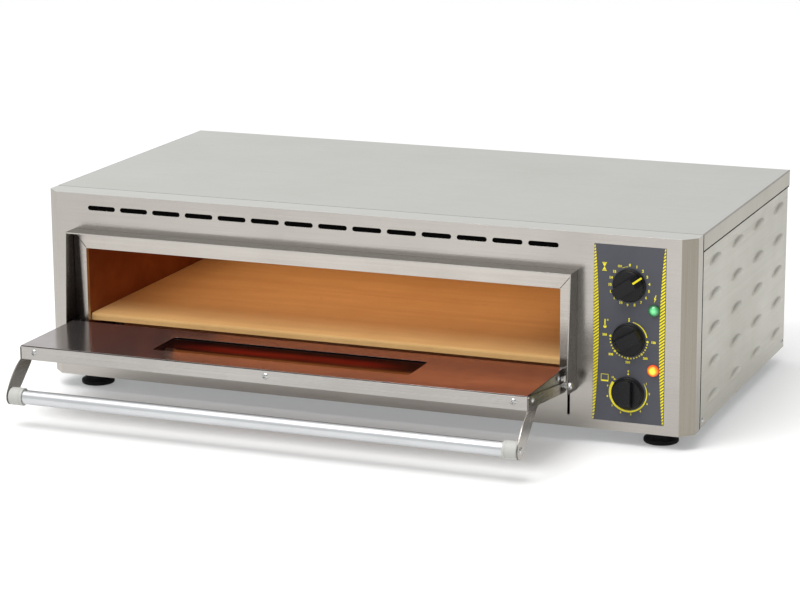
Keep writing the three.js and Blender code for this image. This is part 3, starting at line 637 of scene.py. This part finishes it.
def mesh_data(name, mesh):
    """Turns a bmesh into mesh data and frees it."""
    data = bpy.data.meshes.new(name)
    mesh.to_mesh(data)
    mesh.free()
    return data


def put_in_scene(name, data):
    made = bpy.data.objects.new(name, data)
    bpy.context.scene.collection.objects.link(made)
    return made


def make(name, mesh, body, materials, replaces=(), sharp=35.0):
    """A finished piece whose mesh is in the row frame."""
    bmesh.ops.recalc_face_normals(mesh, faces=mesh.faces)
    data = mesh_data(name, mesh)
    data.polygons.foreach_set("use_smooth", [True] * len(data.polygons))
    data.set_sharp_from_angle(angle=math.radians(sharp))
    for material in materials:
        data.materials.append(MATERIAL[material])
    piece = put_in_scene(name, data)
    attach(piece, body)
    if replaces:
        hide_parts(*replaces)
    return piece


# ---- casing

# Half-moon louvres, in millimetres, in the same places as the CAD panel's. The columns and the
# rows are each given by the first place, the pitch and the count.
LOUVRE_HALF, LOUVRE_RISE = 30.0, 11.5
LOUVRE_COLUMNS = (106.0, 109.0, 4)
LOUVRE_ROWS = (46.0, 44.0, 5)
PANEL_THICKNESS = 1.2
CASING_SCREW, BAND_SCREW, HANDLE_SCREW = 3.6, 3.9, 4.6  # radii of the screw heads


def louvre(mesh, y, z, out, proud):
    """The pressed half-moon. Returns the verts of its rim, from one end of the mouth to the other."""
    rings, steps = 7, 28
    rows = []
    for ring in range(rings + 1):
        share = ring / rings
        height = proud * (1 - share ** 2.4) ** 0.75
        angles = [math.pi * step / steps for step in range(steps + 1 if ring else 1)]
        rows.append(add_points(mesh, [
            (out(height), y + LOUVRE_HALF * MM * share * math.cos(angle),
             z + LOUVRE_RISE * MM * share * math.sin(angle)) for angle in angles]))
    loft(mesh, rows, closed=False)
    return rows[-1]


def edges_round(mesh, verts):
    """The edges round a closed row of points, made where they are missing."""
    pairs = zip(verts, verts[1:] + verts[:1])
    return [mesh.edges.get(pair) or mesh.edges.new(pair) for pair in pairs]


def side_panel(name, side):
    """A flat sheet with real openings under its louvres, given the sheet's thickness."""
    low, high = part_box(name)
    face = side * PANEL_FACE
    proud = max(abs(low.x), abs(high.x)) - PANEL_FACE
    mesh = bmesh.new()
    corners = [(low.y, low.z), (high.y, low.z), (high.y, high.z), (low.y, high.z)]
    edges = edges_round(mesh, add_points(mesh, [(face, y, z) for y, z in corners]))
    first_y, pitch_y, columns = LOUVRE_COLUMNS
    first_z, pitch_z, rows = LOUVRE_ROWS
    for column in range(columns):
        for row in range(rows):
            y = CASING_LOW.y + (first_y + column * pitch_y) * MM
            z = (first_z + row * pitch_z) * MM
            rim = louvre(mesh, y, z, lambda height: face + side * height, proud)
            end, width = rim[-1].co.y, rim[0].co.y - rim[-1].co.y
            sill = add_points(mesh, [(face, end + width * i / 10, z) for i in range(1, 10)])
            edges += edges_round(mesh, rim + sill)
    bmesh.ops.triangle_fill(mesh, use_beauty=True, use_dissolve=False, edges=edges)
    for part in mesh.faces:
        if part.normal.x * side < 0:
            part.normal_flip()
    bmesh.ops.solidify(mesh, geom=mesh.faces[:], thickness=PANEL_THICKNESS * MM)
    piece = make(name + "_louvred", mesh, "cabinet", ["panel"], [name], sharp=50)
    piece.modifiers.new("normals", "WEIGHTED_NORMAL").keep_sharp = True


def screw(mesh, point, facing, radius):
    """A raised cross-head screw: a shallow dome with a cross sunk in it, turned at random."""
    where = stand(point, facing, RNG.uniform(0, 90))
    steps, rings = 40, 11
    dome = 0.42 * radius
    arm, half = 0.52 * radius, 0.14 * radius

    def height(x, y):
        share = min(1.0, math.hypot(x, y) / radius)
        crown = dome * (1 - share ** 2.6)
        in_cross = (abs(x) < half and abs(y) < arm) or (abs(y) < half and abs(x) < arm)
        return crown - (0.75 * dome if in_cross else 0)

    rows = [add_points(mesh, [(0, 0, height(0, 0))], where)]
    for ring in range(1, rings + 1):
        outline = circle(radius * ring / rings, steps)
        rows.append(add_points(mesh, [(x, y, height(x, y)) for x, y in outline], where))
    rows.append(add_points(mesh, at_height(circle(radius, steps), -0.3), where))
    loft(mesh, rows)
    mesh.faces.new(rows[-1])


def casing_screws():
    mesh = bmesh.new()
    low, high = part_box("right_side_panel")
    rear_low, rear_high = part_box("rear_panel")
    lowest = rear_low.z + 10 * MM
    for _, side in SIDES:
        for y in (low.y + 19 * MM, high.y - 4.7 * MM):
            place = Vector((side * PANEL_FACE, y, low.z + 8 * MM))
            screw(mesh, place, OUTWARD[side], CASING_SCREW)
        for z in (lowest, rear_high.z - 48 * MM):
            place = Vector((side * (rear_high.x - 8 * MM), rear_high.y, z))
            screw(mesh, place, BACK, CASING_SCREW)
    for x in (-0.22, 0.0, 0.22):
        screw(mesh, Vector((x, rear_high.y, lowest)), BACK, CASING_SCREW)
    make("casing_screws", mesh, "cabinet", ["zinc"])


def slab(mesh, low, high):
    """A closed box between two corners."""
    bmesh.ops.create_cube(mesh, size=1.0, matrix=Matrix.Translation((Vector(low) + Vector(high)) / 2)
                          @ Matrix.Diagonal((*(Vector(high) - Vector(low)), 1)))


def vent_shadow():
    """A black channel close behind the vent slots: painted shade for the dark inside, so that nothing of
    the inside shows through them.
    """
    left, right = CASING_LOW.x + 30 * MM, CASING_HIGH.x - 150 * MM
    front, bottom, top = CASING_LOW.y + 1.8 * MM, CASING_HIGH.z - 26 * MM, CASING_HIGH.z - 12 * MM
    mesh = bmesh.new()
    slab(mesh, (left, front, bottom), (right, front + 0.6 * MM, top))
    for level in (bottom, top - 0.6 * MM):
        slab(mesh, (left, front + 0.7 * MM, level), (right, front + 5 * MM, level + 0.6 * MM))
    make("vent_shadow", mesh, "cabinet", ["dark"])


def casing_seams():
    """The dark shadow gaps, black strips of painted shade: behind the fascia's return, and under the
    cover's lip.
    """
    lip_low, lip_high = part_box("top_cover")
    edge, flush = CASING_HIGH.y, CASING_HIGH.x - 0.1 * MM
    top, half = CASING_HIGH.z, lip_high.x - 1 * MM
    mesh = bmesh.new()
    for _, side in SIDES:
        inner, outer = sorted((side * PANEL_FACE, side * flush))
        slab(mesh, (inner, edge, CASING_LOW.z + 1 * MM), (outer, edge + 3.8 * MM, lip_low.z))
        slab(mesh, (inner, edge, lip_low.z - 1.9 * MM), (outer, lip_high.y - 2 * MM, lip_low.z))
        inner, outer = sorted((side * flush, side * (CASING_HIGH.x + 0.05 * MM)))
        slab(mesh, (inner, edge, lip_low.z), (outer, edge + 3 * MM, top - 1 * MM))
    slab(mesh, (-half, edge, top - 1.2 * MM), (half, lip_low.y, top - 0.6 * MM))
    make("casing_seams", mesh, "cabinet", ["dark"])


def bezel_seams():
    """The mitre joints where the bezel's side strips meet its top strip."""
    low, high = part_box("opening_bezel")
    half = (size_of("chamber_liner").x / 2 - 3.2) * MM
    centre = (low.x + high.x) / 2
    lintel = high.z - (high.x - centre - half)
    lift = Vector((0, -0.08 * MM, 0))
    mesh = bmesh.new()
    for _, side in SIDES:
        outer = Vector((end_of("opening_bezel", side), low.y, high.z))
        inner = Vector((centre + side * half, low.y, lintel - 3.5 * MM))
        along = (inner - outer).normalized()
        across = along.cross(Vector((0, 1, 0))) * 0.35 * MM
        ends = [outer + across, inner + across, inner - across, outer - across]
        plate(mesh, ends, [end + lift for end in ends])
    make("bezel_seams", mesh, "cabinet", ["dark"])


def feet():
    for end in ("front", "rear"):
        for side, _ in SIDES:
            node = f"foot_{end}_{side}"
            place = middle(node)
            place.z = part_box(node)[0].z
            top = size_of(node).z
            profile = [
                (0, 0.6), (9, 0.6), (9.6, 0), (19.4, 0), (21.4, 0.6), (22.3, 1.8), (22.3, 4.6), (21.7, 5.8),
                (20.0, 6.6), (17.8, 8.4), (16.8, 10.2), (16.2, 13.5), (15.8, top - 0.6),
                (15.2, top), (0, top),
            ]
            mesh = bmesh.new()
            lathe(mesh, profile, 72, stand(place, UP))
            make(node + "_moulded", mesh, "cabinet", ["rubber"], [node], sharp=50)


def cable_gland():
    """A hexagon nut and a ribbed, rounded cap with a bore for the cord."""
    place = middle("cable_gland")
    place.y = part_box("top_cover")[1].y
    where = stand(place, BACK)
    mesh = bmesh.new()
    prism(mesh, circle(11.9, 6), -1.2, 4.6, where)
    profile = [
        (4.6, -13.5), (8.3, -13.5), (8.3, -1.3), (9.6, 4.6), (9.9, 6), (9.6, 7.5), (8.6, 12.5), (7.2, 15.6),
        (6.2, 16), (5.2, 15.4), (4.6, 13), (4.6, -13.5),
    ]
    lathe(mesh, profile, 64, where)
    for rib in range(16):
        first, last = rib * 22.5 - 3.5, rib * 22.5 + 3.5
        prism(mesh, arc(9.5, first, last, 2) + arc(8.2, last, first, 2), 5, 10.5, where)
    make("cable_gland_nut", mesh, "cabinet", ["black"], ["cable_gland"], sharp=40)


# ---- heating

CAP_LENGTH, RIB_PITCH = 14.0, 3.4


def elements():
    """Quartz tubes between ribbed ceramic caps."""
    for level in ("upper", "lower"):
        for index in (1, 2, 3):
            node = f"{level}_element_{index}"
            half = size_of(node).x / 2
            where = stand(middle(node), lying(1))
            mesh = bmesh.new()
            for end in (-1, 1):
                edge = [(0, half)]
                for rib in range(4):
                    z = half - 0.4 - rib * RIB_PITCH
                    edge += [(7.4, z), (8, z - 0.5), (8, z - 1.9), (7, z - 2.3), (7, z - 3.0)]
                edge.append((0, half - CAP_LENGTH))
                lathe(mesh, [(r, end * h) for r, h in edge], 32, where, 1)
            reach = half - CAP_LENGTH + 0.2
            lathe(mesh, [(0, -reach), (5.8, -reach), (5.8, reach), (0, reach)], 32, where)
            make(node + "_tube", mesh, "cabinet", [level + "_quartz", "ceramic"],
                 [node], sharp=40)


# ---- door

def door_screws():
    """Three on the front band, and on each arm one at its knee, two at its heel and one at the handle."""
    band_low, band_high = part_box("door_outer_skin")
    mesh = bmesh.new()
    z = (band_low.z + band_high.z) / 2 + 1.5 * MM
    for x in (band_low.x + 18 * MM, HINGE.x, band_high.x - 18 * MM):
        screw(mesh, Vector((x, band_low.y, z)), FRONT, BAND_SCREW)
    handle_place = middle("handle_tube")
    for name, side in SIDES:
        face = end_of("door_arm_" + name, side)
        for along, above in ((122, 14), (23, 15), (9, 11)):
            place = Vector((face, HINGE.y - along * MM, HINGE.z + above * MM))
            screw(mesh, place, OUTWARD[side], CASING_SCREW)
        screw(mesh, Vector((face, handle_place.y, handle_place.z)), OUTWARD[side], HANDLE_SCREW)
    make("door_screws", mesh, "door", ["zinc"])


def handle():
    size = size_of("handle_tube")
    radius, half = size.z / 2, size.x / 2
    wall, stations = radius - 1.5, 24
    profile = [(wall, -half)]
    profile += [(radius, -half + 2 * half * i / stations) for i in range(stations + 1)]
    profile += [(wall, half), (wall, -half)]
    mesh = bmesh.new()
    lathe(mesh, profile, 96, stand(middle("handle_tube"), lying(1)))
    make("handle_bar", mesh, "door", ["aluminium"], ["handle_tube"], sharp=40)


def handle_caps():
    """Moulded caps with a groove round them, pushed over the ends of the tube."""
    bore = size_of("handle_tube").z / 2 + 0.3
    for name, side in SIDES:
        node = "handle_cap_" + name
        place = middle(node)
        place.x = end_of(node, side)
        size = size_of(node)
        length, outer = size.x, size.z / 2
        profile = [
            (0, 0), (outer - 1.6, 0), (outer - 0.7, 0.3), (outer - 0.2, 1.0), (outer, 2.2),
            (outer, length - 4.2), (outer - 0.35, length - 3.9), (outer - 0.35, length - 3.5),
            (outer, length - 3.2), (outer, length - 0.8), (outer - 0.5, length - 0.1),
            (bore + 0.05, length), (bore, length - 1), (bore, 7), (0, 7),
        ]
        mesh = bmesh.new()
        lathe(mesh, profile, 72, stand(place, lying(-side)))
        make(node + "_moulded", mesh, "door", ["grey"], [node], sharp=40)


def hinge_pins():
    """A stud through the cheek, a washer, and a domed hexagon nut over its end."""
    for name, side in SIDES:
        node = "hinge_pin_" + name
        face = end_of("door_surround", side)
        inward = abs(face - end_of(node, -side)) / MM
        where = stand(Vector((face, HINGE.y, HINGE.z)), lying(side))
        mesh = bmesh.new()
        lathe(mesh, [(0, -inward), (3.6, -inward), (3.9, 0.4 - inward), (3.9, 1), (0, 1)], 40, where)
        lathe(mesh, [(4.2, 0.3), (5.6, 0.3), (5.6, 0.9), (4.2, 0.9), (4.2, 0.3)], 48, where)
        prism(mesh, circle(5.4, 6), 0.9, 2.9, where)
        quarter = [math.radians(9 * i) for i in range(10)]
        dome = [(4.2 * math.cos(a), 2.9 + 2.4 * math.sin(a)) for a in quarter]
        lathe(mesh, [(0, 2.7), (4.2, 2.7), *dome, (0, 5.3)], 40, where)
        make(node + "_nut", mesh, "cabinet", ["zinc"], [node], sharp=30)


def springs():
    """Close-wound tension springs with a hook at each end."""
    for name, _ in SIDES:
        node = "door_spring_" + name
        low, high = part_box(node)
        x = middle(node).x
        lever = middle("hinge_lever_" + name)
        head = Vector((x, high.y - 1.2 * MM, high.z - 0.8 * MM))
        tail = Vector((x, low.y + 1.2 * MM, low.z + 0.8 * MM))
        if abs(head.y - lever.y) > abs(tail.y - lever.y):
            head.y, tail.y = tail.y, head.y
        axis = (tail - head).normalized()
        across = Vector((1, 0, 0))
        around = axis.cross(across)
        length = (tail - head).length
        turns, hook = 22, 0.18
        steps = turns * 14
        points = [head]
        for i in range(steps + 1):
            share = i / steps
            angle = 2 * math.pi * turns * share
            centre = head + axis * length * (hook + (1 - 2 * hook) * share)
            points.append(centre + (across * math.cos(angle) + around * math.sin(angle)) * 3.6 * MM)
        points.append(tail)
        mesh = bmesh.new()
        tube(mesh, points, 0.62 * MM, 8)
        make(node + "_coil", mesh, "cabinet", ["spring"], [node], sharp=60)


# ---- controls

GRIP_HALF, GRIP_TAIL, GRIP_CREST, GRIP_TOE, GRIP_TOE_HEIGHT = 7.4, 18.8, 10.6, 20.3, 4.5
KNOB_RADIUS, KNOB_HEIGHT, DRUM_HEIGHT = 21.1, 18.5, 9.0
REST_TURN = {"timer": 55.0, "thermostat": 240.0, "regulator": 180.0}


def slope_height(y):
    """The cut at the pointer end: from the bar's crest down to the skirt."""
    share = (y - GRIP_CREST) / (GRIP_TOE - GRIP_CREST)
    return KNOB_HEIGHT + (GRIP_TOE_HEIGHT - KNOB_HEIGHT) * share


def grip_bar(mesh):
    """The grip: straight flanks, a round tail, and a slope at the pointer end."""
    rows = []
    for step in range(9):
        x = GRIP_HALF * (step / 4 - 1)
        tail = -math.sqrt(GRIP_TAIL ** 2 - x ** 2)
        toe = math.sqrt(GRIP_TOE ** 2 - x ** 2)
        stations = [tail + (GRIP_CREST - tail) * i / 4 for i in range(5)]
        stations += [GRIP_CREST + (toe - GRIP_CREST) * i / 3 for i in range(1, 4)]
        rows.append([(x, y, min(KNOB_HEIGHT, slope_height(y))) for y in stations])
    top = [add_points(mesh, row) for row in rows]
    low = [add_points(mesh, [(x, y, 4.0) for x, y, _ in row]) for row in rows]
    loft(mesh, [upper + lower[::-1] for upper, lower in zip(top, low)])
    for flank in (0, -1):
        loft(mesh, [top[flank], low[flank]], closed=False)


def knob_base(mesh):
    """The skirt and the drum as one turned body, cut by the slope at the pointer end."""
    drum = KNOB_RADIUS - 1.6
    profile = [
        (3.4, DRUM_HEIGHT), (3.4, 1.3), (KNOB_RADIUS - 0.5, 1.3), (KNOB_RADIUS, 1.8), (KNOB_RADIUS, 3.7),
        (KNOB_RADIUS - 0.5, 4.4), (drum + 0.3, 4.6), (drum, 5.1), (drum - 0.3, DRUM_HEIGHT - 0.7),
        (drum - 1.0, DRUM_HEIGHT),
    ]
    profile += [(radius, DRUM_HEIGHT) for radius in (18.0, 17.4, 16.2, 10.0, 3.4)]
    lathe(mesh, profile, 120, UP)
    bmesh.ops.remove_doubles(mesh, verts=mesh.verts, dist=0.001)
    for vert in mesh.verts:
        vert.co.z = min(vert.co.z, slope_height(vert.co.y))


def pointer_line(mesh):
    """The yellow line down the slope, from the crest of the bar almost to the rim. Only the timer
    shows one in the photograph."""
    half, first, last = 1.25, GRIP_CREST + 0.2, GRIP_TOE - 0.5
    out = Vector((0, slope_height(first) - slope_height(last), last - first)).normalized()
    corners = [(-half, first), (half, first), (half, last), (-half, last)]
    ends = [Vector((x, y, slope_height(y))) for x, y in corners]
    plate(mesh, [end - out * 0.2 for end in ends], [end + out * 0.12 for end in ends])


def knob(dial):
    node = dial + "_knob"
    where = stand(JOINTS[dial + "_turn"], FRONT, -REST_TURN[dial])
    body = bmesh.new()
    knob_base(body)
    grip_bar(body)
    body.transform(where)
    piece = make(node + "_moulded", body, dial + "_dial", ["black"], [node])
    round_edges(piece, width=0.5, segments=3, angle=35).harden_normals = True
    if dial == "timer":
        line = bmesh.new()
        pointer_line(line)
        line.transform(where)
        make("timer_pointer", line, "timer_dial", ["ink"])


def lamp(node, material):
    """A domed lens in a thin collar, with its barrel behind the panel."""
    place = middle(node)
    place.y = LABEL_FACE - 0.4 * MM
    where = stand(place, FRONT)
    depth = (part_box(node)[1].y - place.y) / MM
    mesh = bmesh.new()
    lens = [(0, -0.5), (6.2, -0.5), (6.2, 1.4)]
    for step in range(1, 9):
        angle = math.radians(10 * step)
        lens.append((6.2 * math.cos(angle), 1.4 + 3.4 * math.sin(angle)))
    lathe(mesh, lens + [(0, 4.8)], 64, where)
    collar = [(6.3, 0), (7.6, 0), (7.6, 0.9), (7.2, 1.6), (6.3, 1.9), (6.3, 0)]
    lathe(mesh, collar, 64, where, 1)
    lathe(mesh, [(0, -depth), (5.9, -depth), (5.9, -0.6), (0, -0.6)], 40, where, 2)
    make(node + "_lens", mesh, "cabinet", [material, material, "grey"], [node], sharp=40)


# ---- the print on the label

PRINT_THICKNESS, PRINT_LIFT = 0.06, 0.01


def on_label(point):
    """Where the print round a point starts: just off the label's face."""
    return stand(Vector((point.x, LABEL_FACE - PRINT_LIFT * MM, point.z)), FRONT)


def number(mesh, words, reach, angle, size, where):
    """Adds a short upright number to the print round a dial."""
    x, y = polar(reach, angle)
    curve = bpy.data.curves.new("number", "FONT")
    curve.body = words
    curve.size = size
    curve.offset = 0.045 * size
    curve.align_x = "CENTER"
    curve.align_y = "CENTER"
    curve.extrude = PRINT_THICKNESS / 2
    curve.resolution_u = 3
    holder = bpy.data.objects.new("number", curve)
    flat = bpy.data.meshes.new_from_object(holder)
    flat.transform(where @ Matrix.Translation((x, y, PRINT_THICKNESS / 2)))
    mesh.from_mesh(flat)
    bpy.data.objects.remove(holder)
    bpy.data.curves.remove(curve)
    bpy.data.meshes.remove(flat)


def ink_shape(mesh, outline, where):
    prism(mesh, outline, 0, PRINT_THICKNESS, where)


def growing_arc(radius, first, last, start_radius, end_radius, steps=40):
    """A crescent between a round edge and one whose radius changes along it."""
    round_edge = arc(radius, first, last, steps)
    other = []
    for i in range(steps, -1, -1):
        reach = start_radius + (end_radius - start_radius) * (i / steps) ** 0.6
        other.append(polar(reach, first + (last - first) * i / steps))
    return round_edge + other


def bar(x, y, width, height, turn=0.0):
    """A rectangle about (x, y), turned clockwise by so many degrees."""
    angle = math.radians(-turn)
    half, rise = width / 2, height / 2
    corners = [(-half, -rise), (half, -rise), (half, rise), (-half, rise)]
    return [(x + a * math.cos(angle) - b * math.sin(angle), y + a * math.sin(angle) + b * math.cos(angle))
            for a, b in corners]


def dot(reach, angle, radius):
    """A round mark beside a dial."""
    return circle(radius, 12, *polar(reach, angle))


def ink_ring(mesh, outer, inner, count, x, y, where):
    """A flat ring of print about (x, y)."""
    corners = ((outer, 0), (inner, 0), (inner, PRINT_THICKNESS), (outer, PRINT_THICKNESS))
    rings = [add_points(mesh, at_height(circle(radius, count, x, y), height), where)
             for radius, height in corners]
    loft(mesh, [*rings, rings[0]])


def timer_print():
    where = on_label(JOINTS["timer_turn"])
    mesh = bmesh.new()
    for minute in range(16):
        number(mesh, str(minute), 25.4, 20.6 * minute, 4.6, where)
    for turn in range(-22, -3, 5):
        x, y = polar(23.4, turn)
        ink_shape(mesh, bar(x, y, 1.2, 0.7, turn), where)
    # the mark for running without the timer: a lying eight
    for x in (-1.25, 1.25):
        ink_ring(mesh, 1.45, 0.85, 20, x - 12.8, 23.4, where)
    # an hourglass beside the dial
    x, y = -32.5, 21.5
    ink_shape(mesh, [(x - 2.4, y + 4), (x + 2.4, y + 4), (x + 0.3, y), (x - 0.3, y)], where)
    ink_shape(mesh, [(x - 0.3, y - 0.2), (x + 0.3, y - 0.2), (x + 2.4, y - 4.2), (x - 2.4, y - 4.2)], where)
    ink_shape(mesh, bar(x, y + 4.9, 6, 0.8), where)
    ink_shape(mesh, bar(x, y - 5.1, 6, 0.8), where)
    make("timer_print", mesh, "cabinet", ["ink"])


THERMOSTAT_MARKS = ((92, "150"), (136, "200"), (182, "250"), (228, "300"), (277, "350"))


def thermostat_print():
    where = on_label(JOINTS["thermostat_turn"])
    mesh = bmesh.new()
    ink_shape(mesh, bar(0, 25.2, 1.6, 4.8), where)
    ink_shape(mesh, growing_arc(22.6, 12, 79, 23.3, 24.2), where)
    for angle, words in THERMOSTAT_MARKS:
        ink_shape(mesh, dot(24.0, angle, 1.5), where)
        number(mesh, words, 29.0 + 2.6 * abs(math.sin(math.radians(angle))), angle, 3.9, where)
    for (first, _), (last, _) in zip(THERMOSTAT_MARKS, THERMOSTAT_MARKS[1:]):
        for step in range(1, 5):
            ink_shape(mesh, dot(24.0, first + (last - first) * step / 5, 0.95), where)
    # a thermometer beside the dial
    x, y = -31, 18
    ink_shape(mesh, bar(x, y + 1.6, 1.5, 8.4), where)
    ink_shape(mesh, circle(2.1, 12, x, y - 3.6), where)
    ink_ring(mesh, 1.1, 0.65, 16, x + 3.4, y + 5, where)
    make("thermostat_print", mesh, "cabinet", ["ink"])


def regulator_print():
    where = on_label(JOINTS["regulator_turn"])
    mesh = bmesh.new()
    ink_shape(mesh, dot(24.2, 0, 1.2), where)
    number(mesh, "0", 28.0, 0, 3.6, where)
    ink_shape(mesh, growing_arc(24.8, 55, 303, 24.5, 21.4, 60), where)
    for step in range(10):
        number(mesh, str(step + 1), 27.4, 59 + 28.2 * step, 3.3, where)
    ink_shape(mesh, dot(24.0, 313, 1.1), where)
    # a chamber heated from below, beside the dial
    x, y = -30.5, 17.5
    walls = ((-4.6, 0.6, 0.6, 7.4), (4.6, 0.6, 0.6, 7.4), (0, 4.2, 9.6, 0.6), (0, -4.0, 9.6, 1.9))
    for dx, dy, width, height in walls:
        ink_shape(mesh, bar(x + dx, y + dy, width, height), where)
    make("regulator_print", mesh, "cabinet", ["ink"])


def lamp_print():
    """A lightning stroke over the mains lamp."""
    stroke = [(1.4, 19.5), (-0.9, 14.2), (0.4, 14.2), (-0.6, 9.6), (2.4, 15.4), (0.9, 15.4), (2.6, 19.5)]
    mesh = bmesh.new()
    ink_shape(mesh, stroke, on_label(middle("power_lamp")))
    make("lamp_print", mesh, "cabinet", ["ink"])


def edge_strips():
    """The hatched strips down both edges of the label, widest in the middle."""
    size = size_of("control_label")
    margin, steps = 0.3, 32
    top = size.z / 2 - margin
    where = on_label(middle("control_label"))
    mesh = bmesh.new()
    for _, side in SIDES:
        edge = side * (size.x / 2 - margin)
        inner = []
        for i in range(steps + 1):
            share = i / steps
            depth = 1.2 + 5.6 * math.sin(math.pi * share) ** 0.8
            inner.append((edge - side * depth, top - 2 * top * share))
        ink_shape(mesh, [(edge, top), *inner, (edge, -top)], where)
    make("edge_strips", mesh, "cabinet", ["hatch"])


# ---- stage, lights and camera

FLOOR_HALF, PAPER_GLOW = 9.0, 0.22
SKY_COLOUR, SKY_LEFT, SKY_RIGHT = (0.985, 0.992, 1.0), 1.0, 0.42
SUN_POWER, SUN_WIDTH, SUN_DIRECTION = 1.25, 60, Vector((0.10, 0.26, -1.0))
CAMERA_PLACE, CAMERA_LENS = (1.305, -3.2686, 0.988), 122.3
CAMERA_YAW, CAMERA_PITCH, CAMERA_ROLL = 21.71, 13.78, -0.31


def stage():
    """White paper on a light table, which keeps the shadows pale."""
    mesh = bmesh.new()
    bmesh.ops.create_grid(mesh, x_segments=8, y_segments=8, size=FLOOR_HALF)
    data = mesh_data("floor", mesh)
    made, shader = start("floor_paper", (0.72, 0.72, 0.715), 0.7,
                         Emission_Color=(1, 1, 1), Emission_Strength=PAPER_GLOW)
    soft = noise(made, 3.0, 2.0)
    mottle(made, shader, spread(made, soft), (0.70, 0.70, 0.695))
    data.materials.append(made)
    put_in_scene("floor", data)


def aim(holder, direction):
    holder.rotation_euler = direction.to_track_quat("-Z", "Y").to_euler()


def softbox(name, place, target, width, height, power, colour=(1, 1, 1)):
    lamp_data = bpy.data.lights.new(name, "AREA")
    lamp_data.shape = "RECTANGLE"
    lamp_data.size = width
    lamp_data.size_y = height
    lamp_data.energy = power
    lamp_data.color = colour
    holder = put_in_scene(name, lamp_data)
    holder.location = place
    aim(holder, Vector(target) - Vector(place))
    return holder


def lights():
    """A white room that is dimmer on its right, an overcast sun and a large lamp over the front."""
    world = bpy.data.worlds.new("studio")
    world.use_nodes = True
    sky = world.node_tree.nodes["Background"]
    across = split(world, add(world, "TexCoord").outputs["Generated"])["X"]
    feed(world, sky.inputs["Strength"], spread(world, across, SKY_LEFT, SKY_RIGHT, -1.0, 1.0))
    feed(world, sky.inputs["Color"], SKY_COLOUR)
    bpy.context.scene.world = world
    sun = bpy.data.lights.new("overcast_sun", "SUN")
    sun.energy = SUN_POWER
    sun.angle = math.radians(SUN_WIDTH)
    aim(put_in_scene("overcast_sun", sun), SUN_DIRECTION)
    softbox("front_lamp", place=(-0.1, -1.3, 1.9), target=(-0.1, -0.7, 0), width=1.2, height=0.9, power=26)


def chamber_glow():
    """The light that the elements throw on the stone and the walls."""
    centre = middle("chamber_liner")
    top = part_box("upper_element_1")[0].z - 4 * MM
    glow = softbox("oven_glow", place=(centre.x, centre.y, top), target=(centre.x, centre.y, 0),
                   width=0.58, height=0.34, power=0.5, colour=(1.0, 0.70, 0.45))
    glow.visible_glossy = False


def camera():
    data = bpy.data.cameras.new("camera")
    data.sensor_width = 36.0
    data.lens = CAMERA_LENS
    data.clip_end = 60.0
    holder = put_in_scene("camera", data)
    yaw, pitch, roll = (math.radians(a) for a in (CAMERA_YAW, CAMERA_PITCH, CAMERA_ROLL))
    turn = Matrix.Rotation(yaw, 4, "Z") @ Matrix.Rotation(math.pi / 2 - pitch, 4, "X")
    turn = turn @ Matrix.Rotation(roll, 4, "Z")
    holder.matrix_world = Matrix.Translation(CAMERA_PLACE) @ turn
    bpy.context.scene.camera = holder


# ---- the whole oven

camera()
finish_cad_nodes()
for name, side in SIDES:
    side_panel(name + "_side_panel", side)
casing_screws()
vent_shadow()
casing_seams()
bezel_seams()
feet()
cable_gland()
elements()
door_screws()
handle()
handle_caps()
hinge_pins()
springs()
for dial in DIALS:
    knob(dial)
lamp("power_lamp", "green")
lamp("heating_lamp", "amber")
timer_print()
thermostat_print()
regulator_print()
lamp_print()
edge_strips()
stage()
lights()
chamber_glow()
bpy.context.scene.view_settings.view_transform = "Standard"
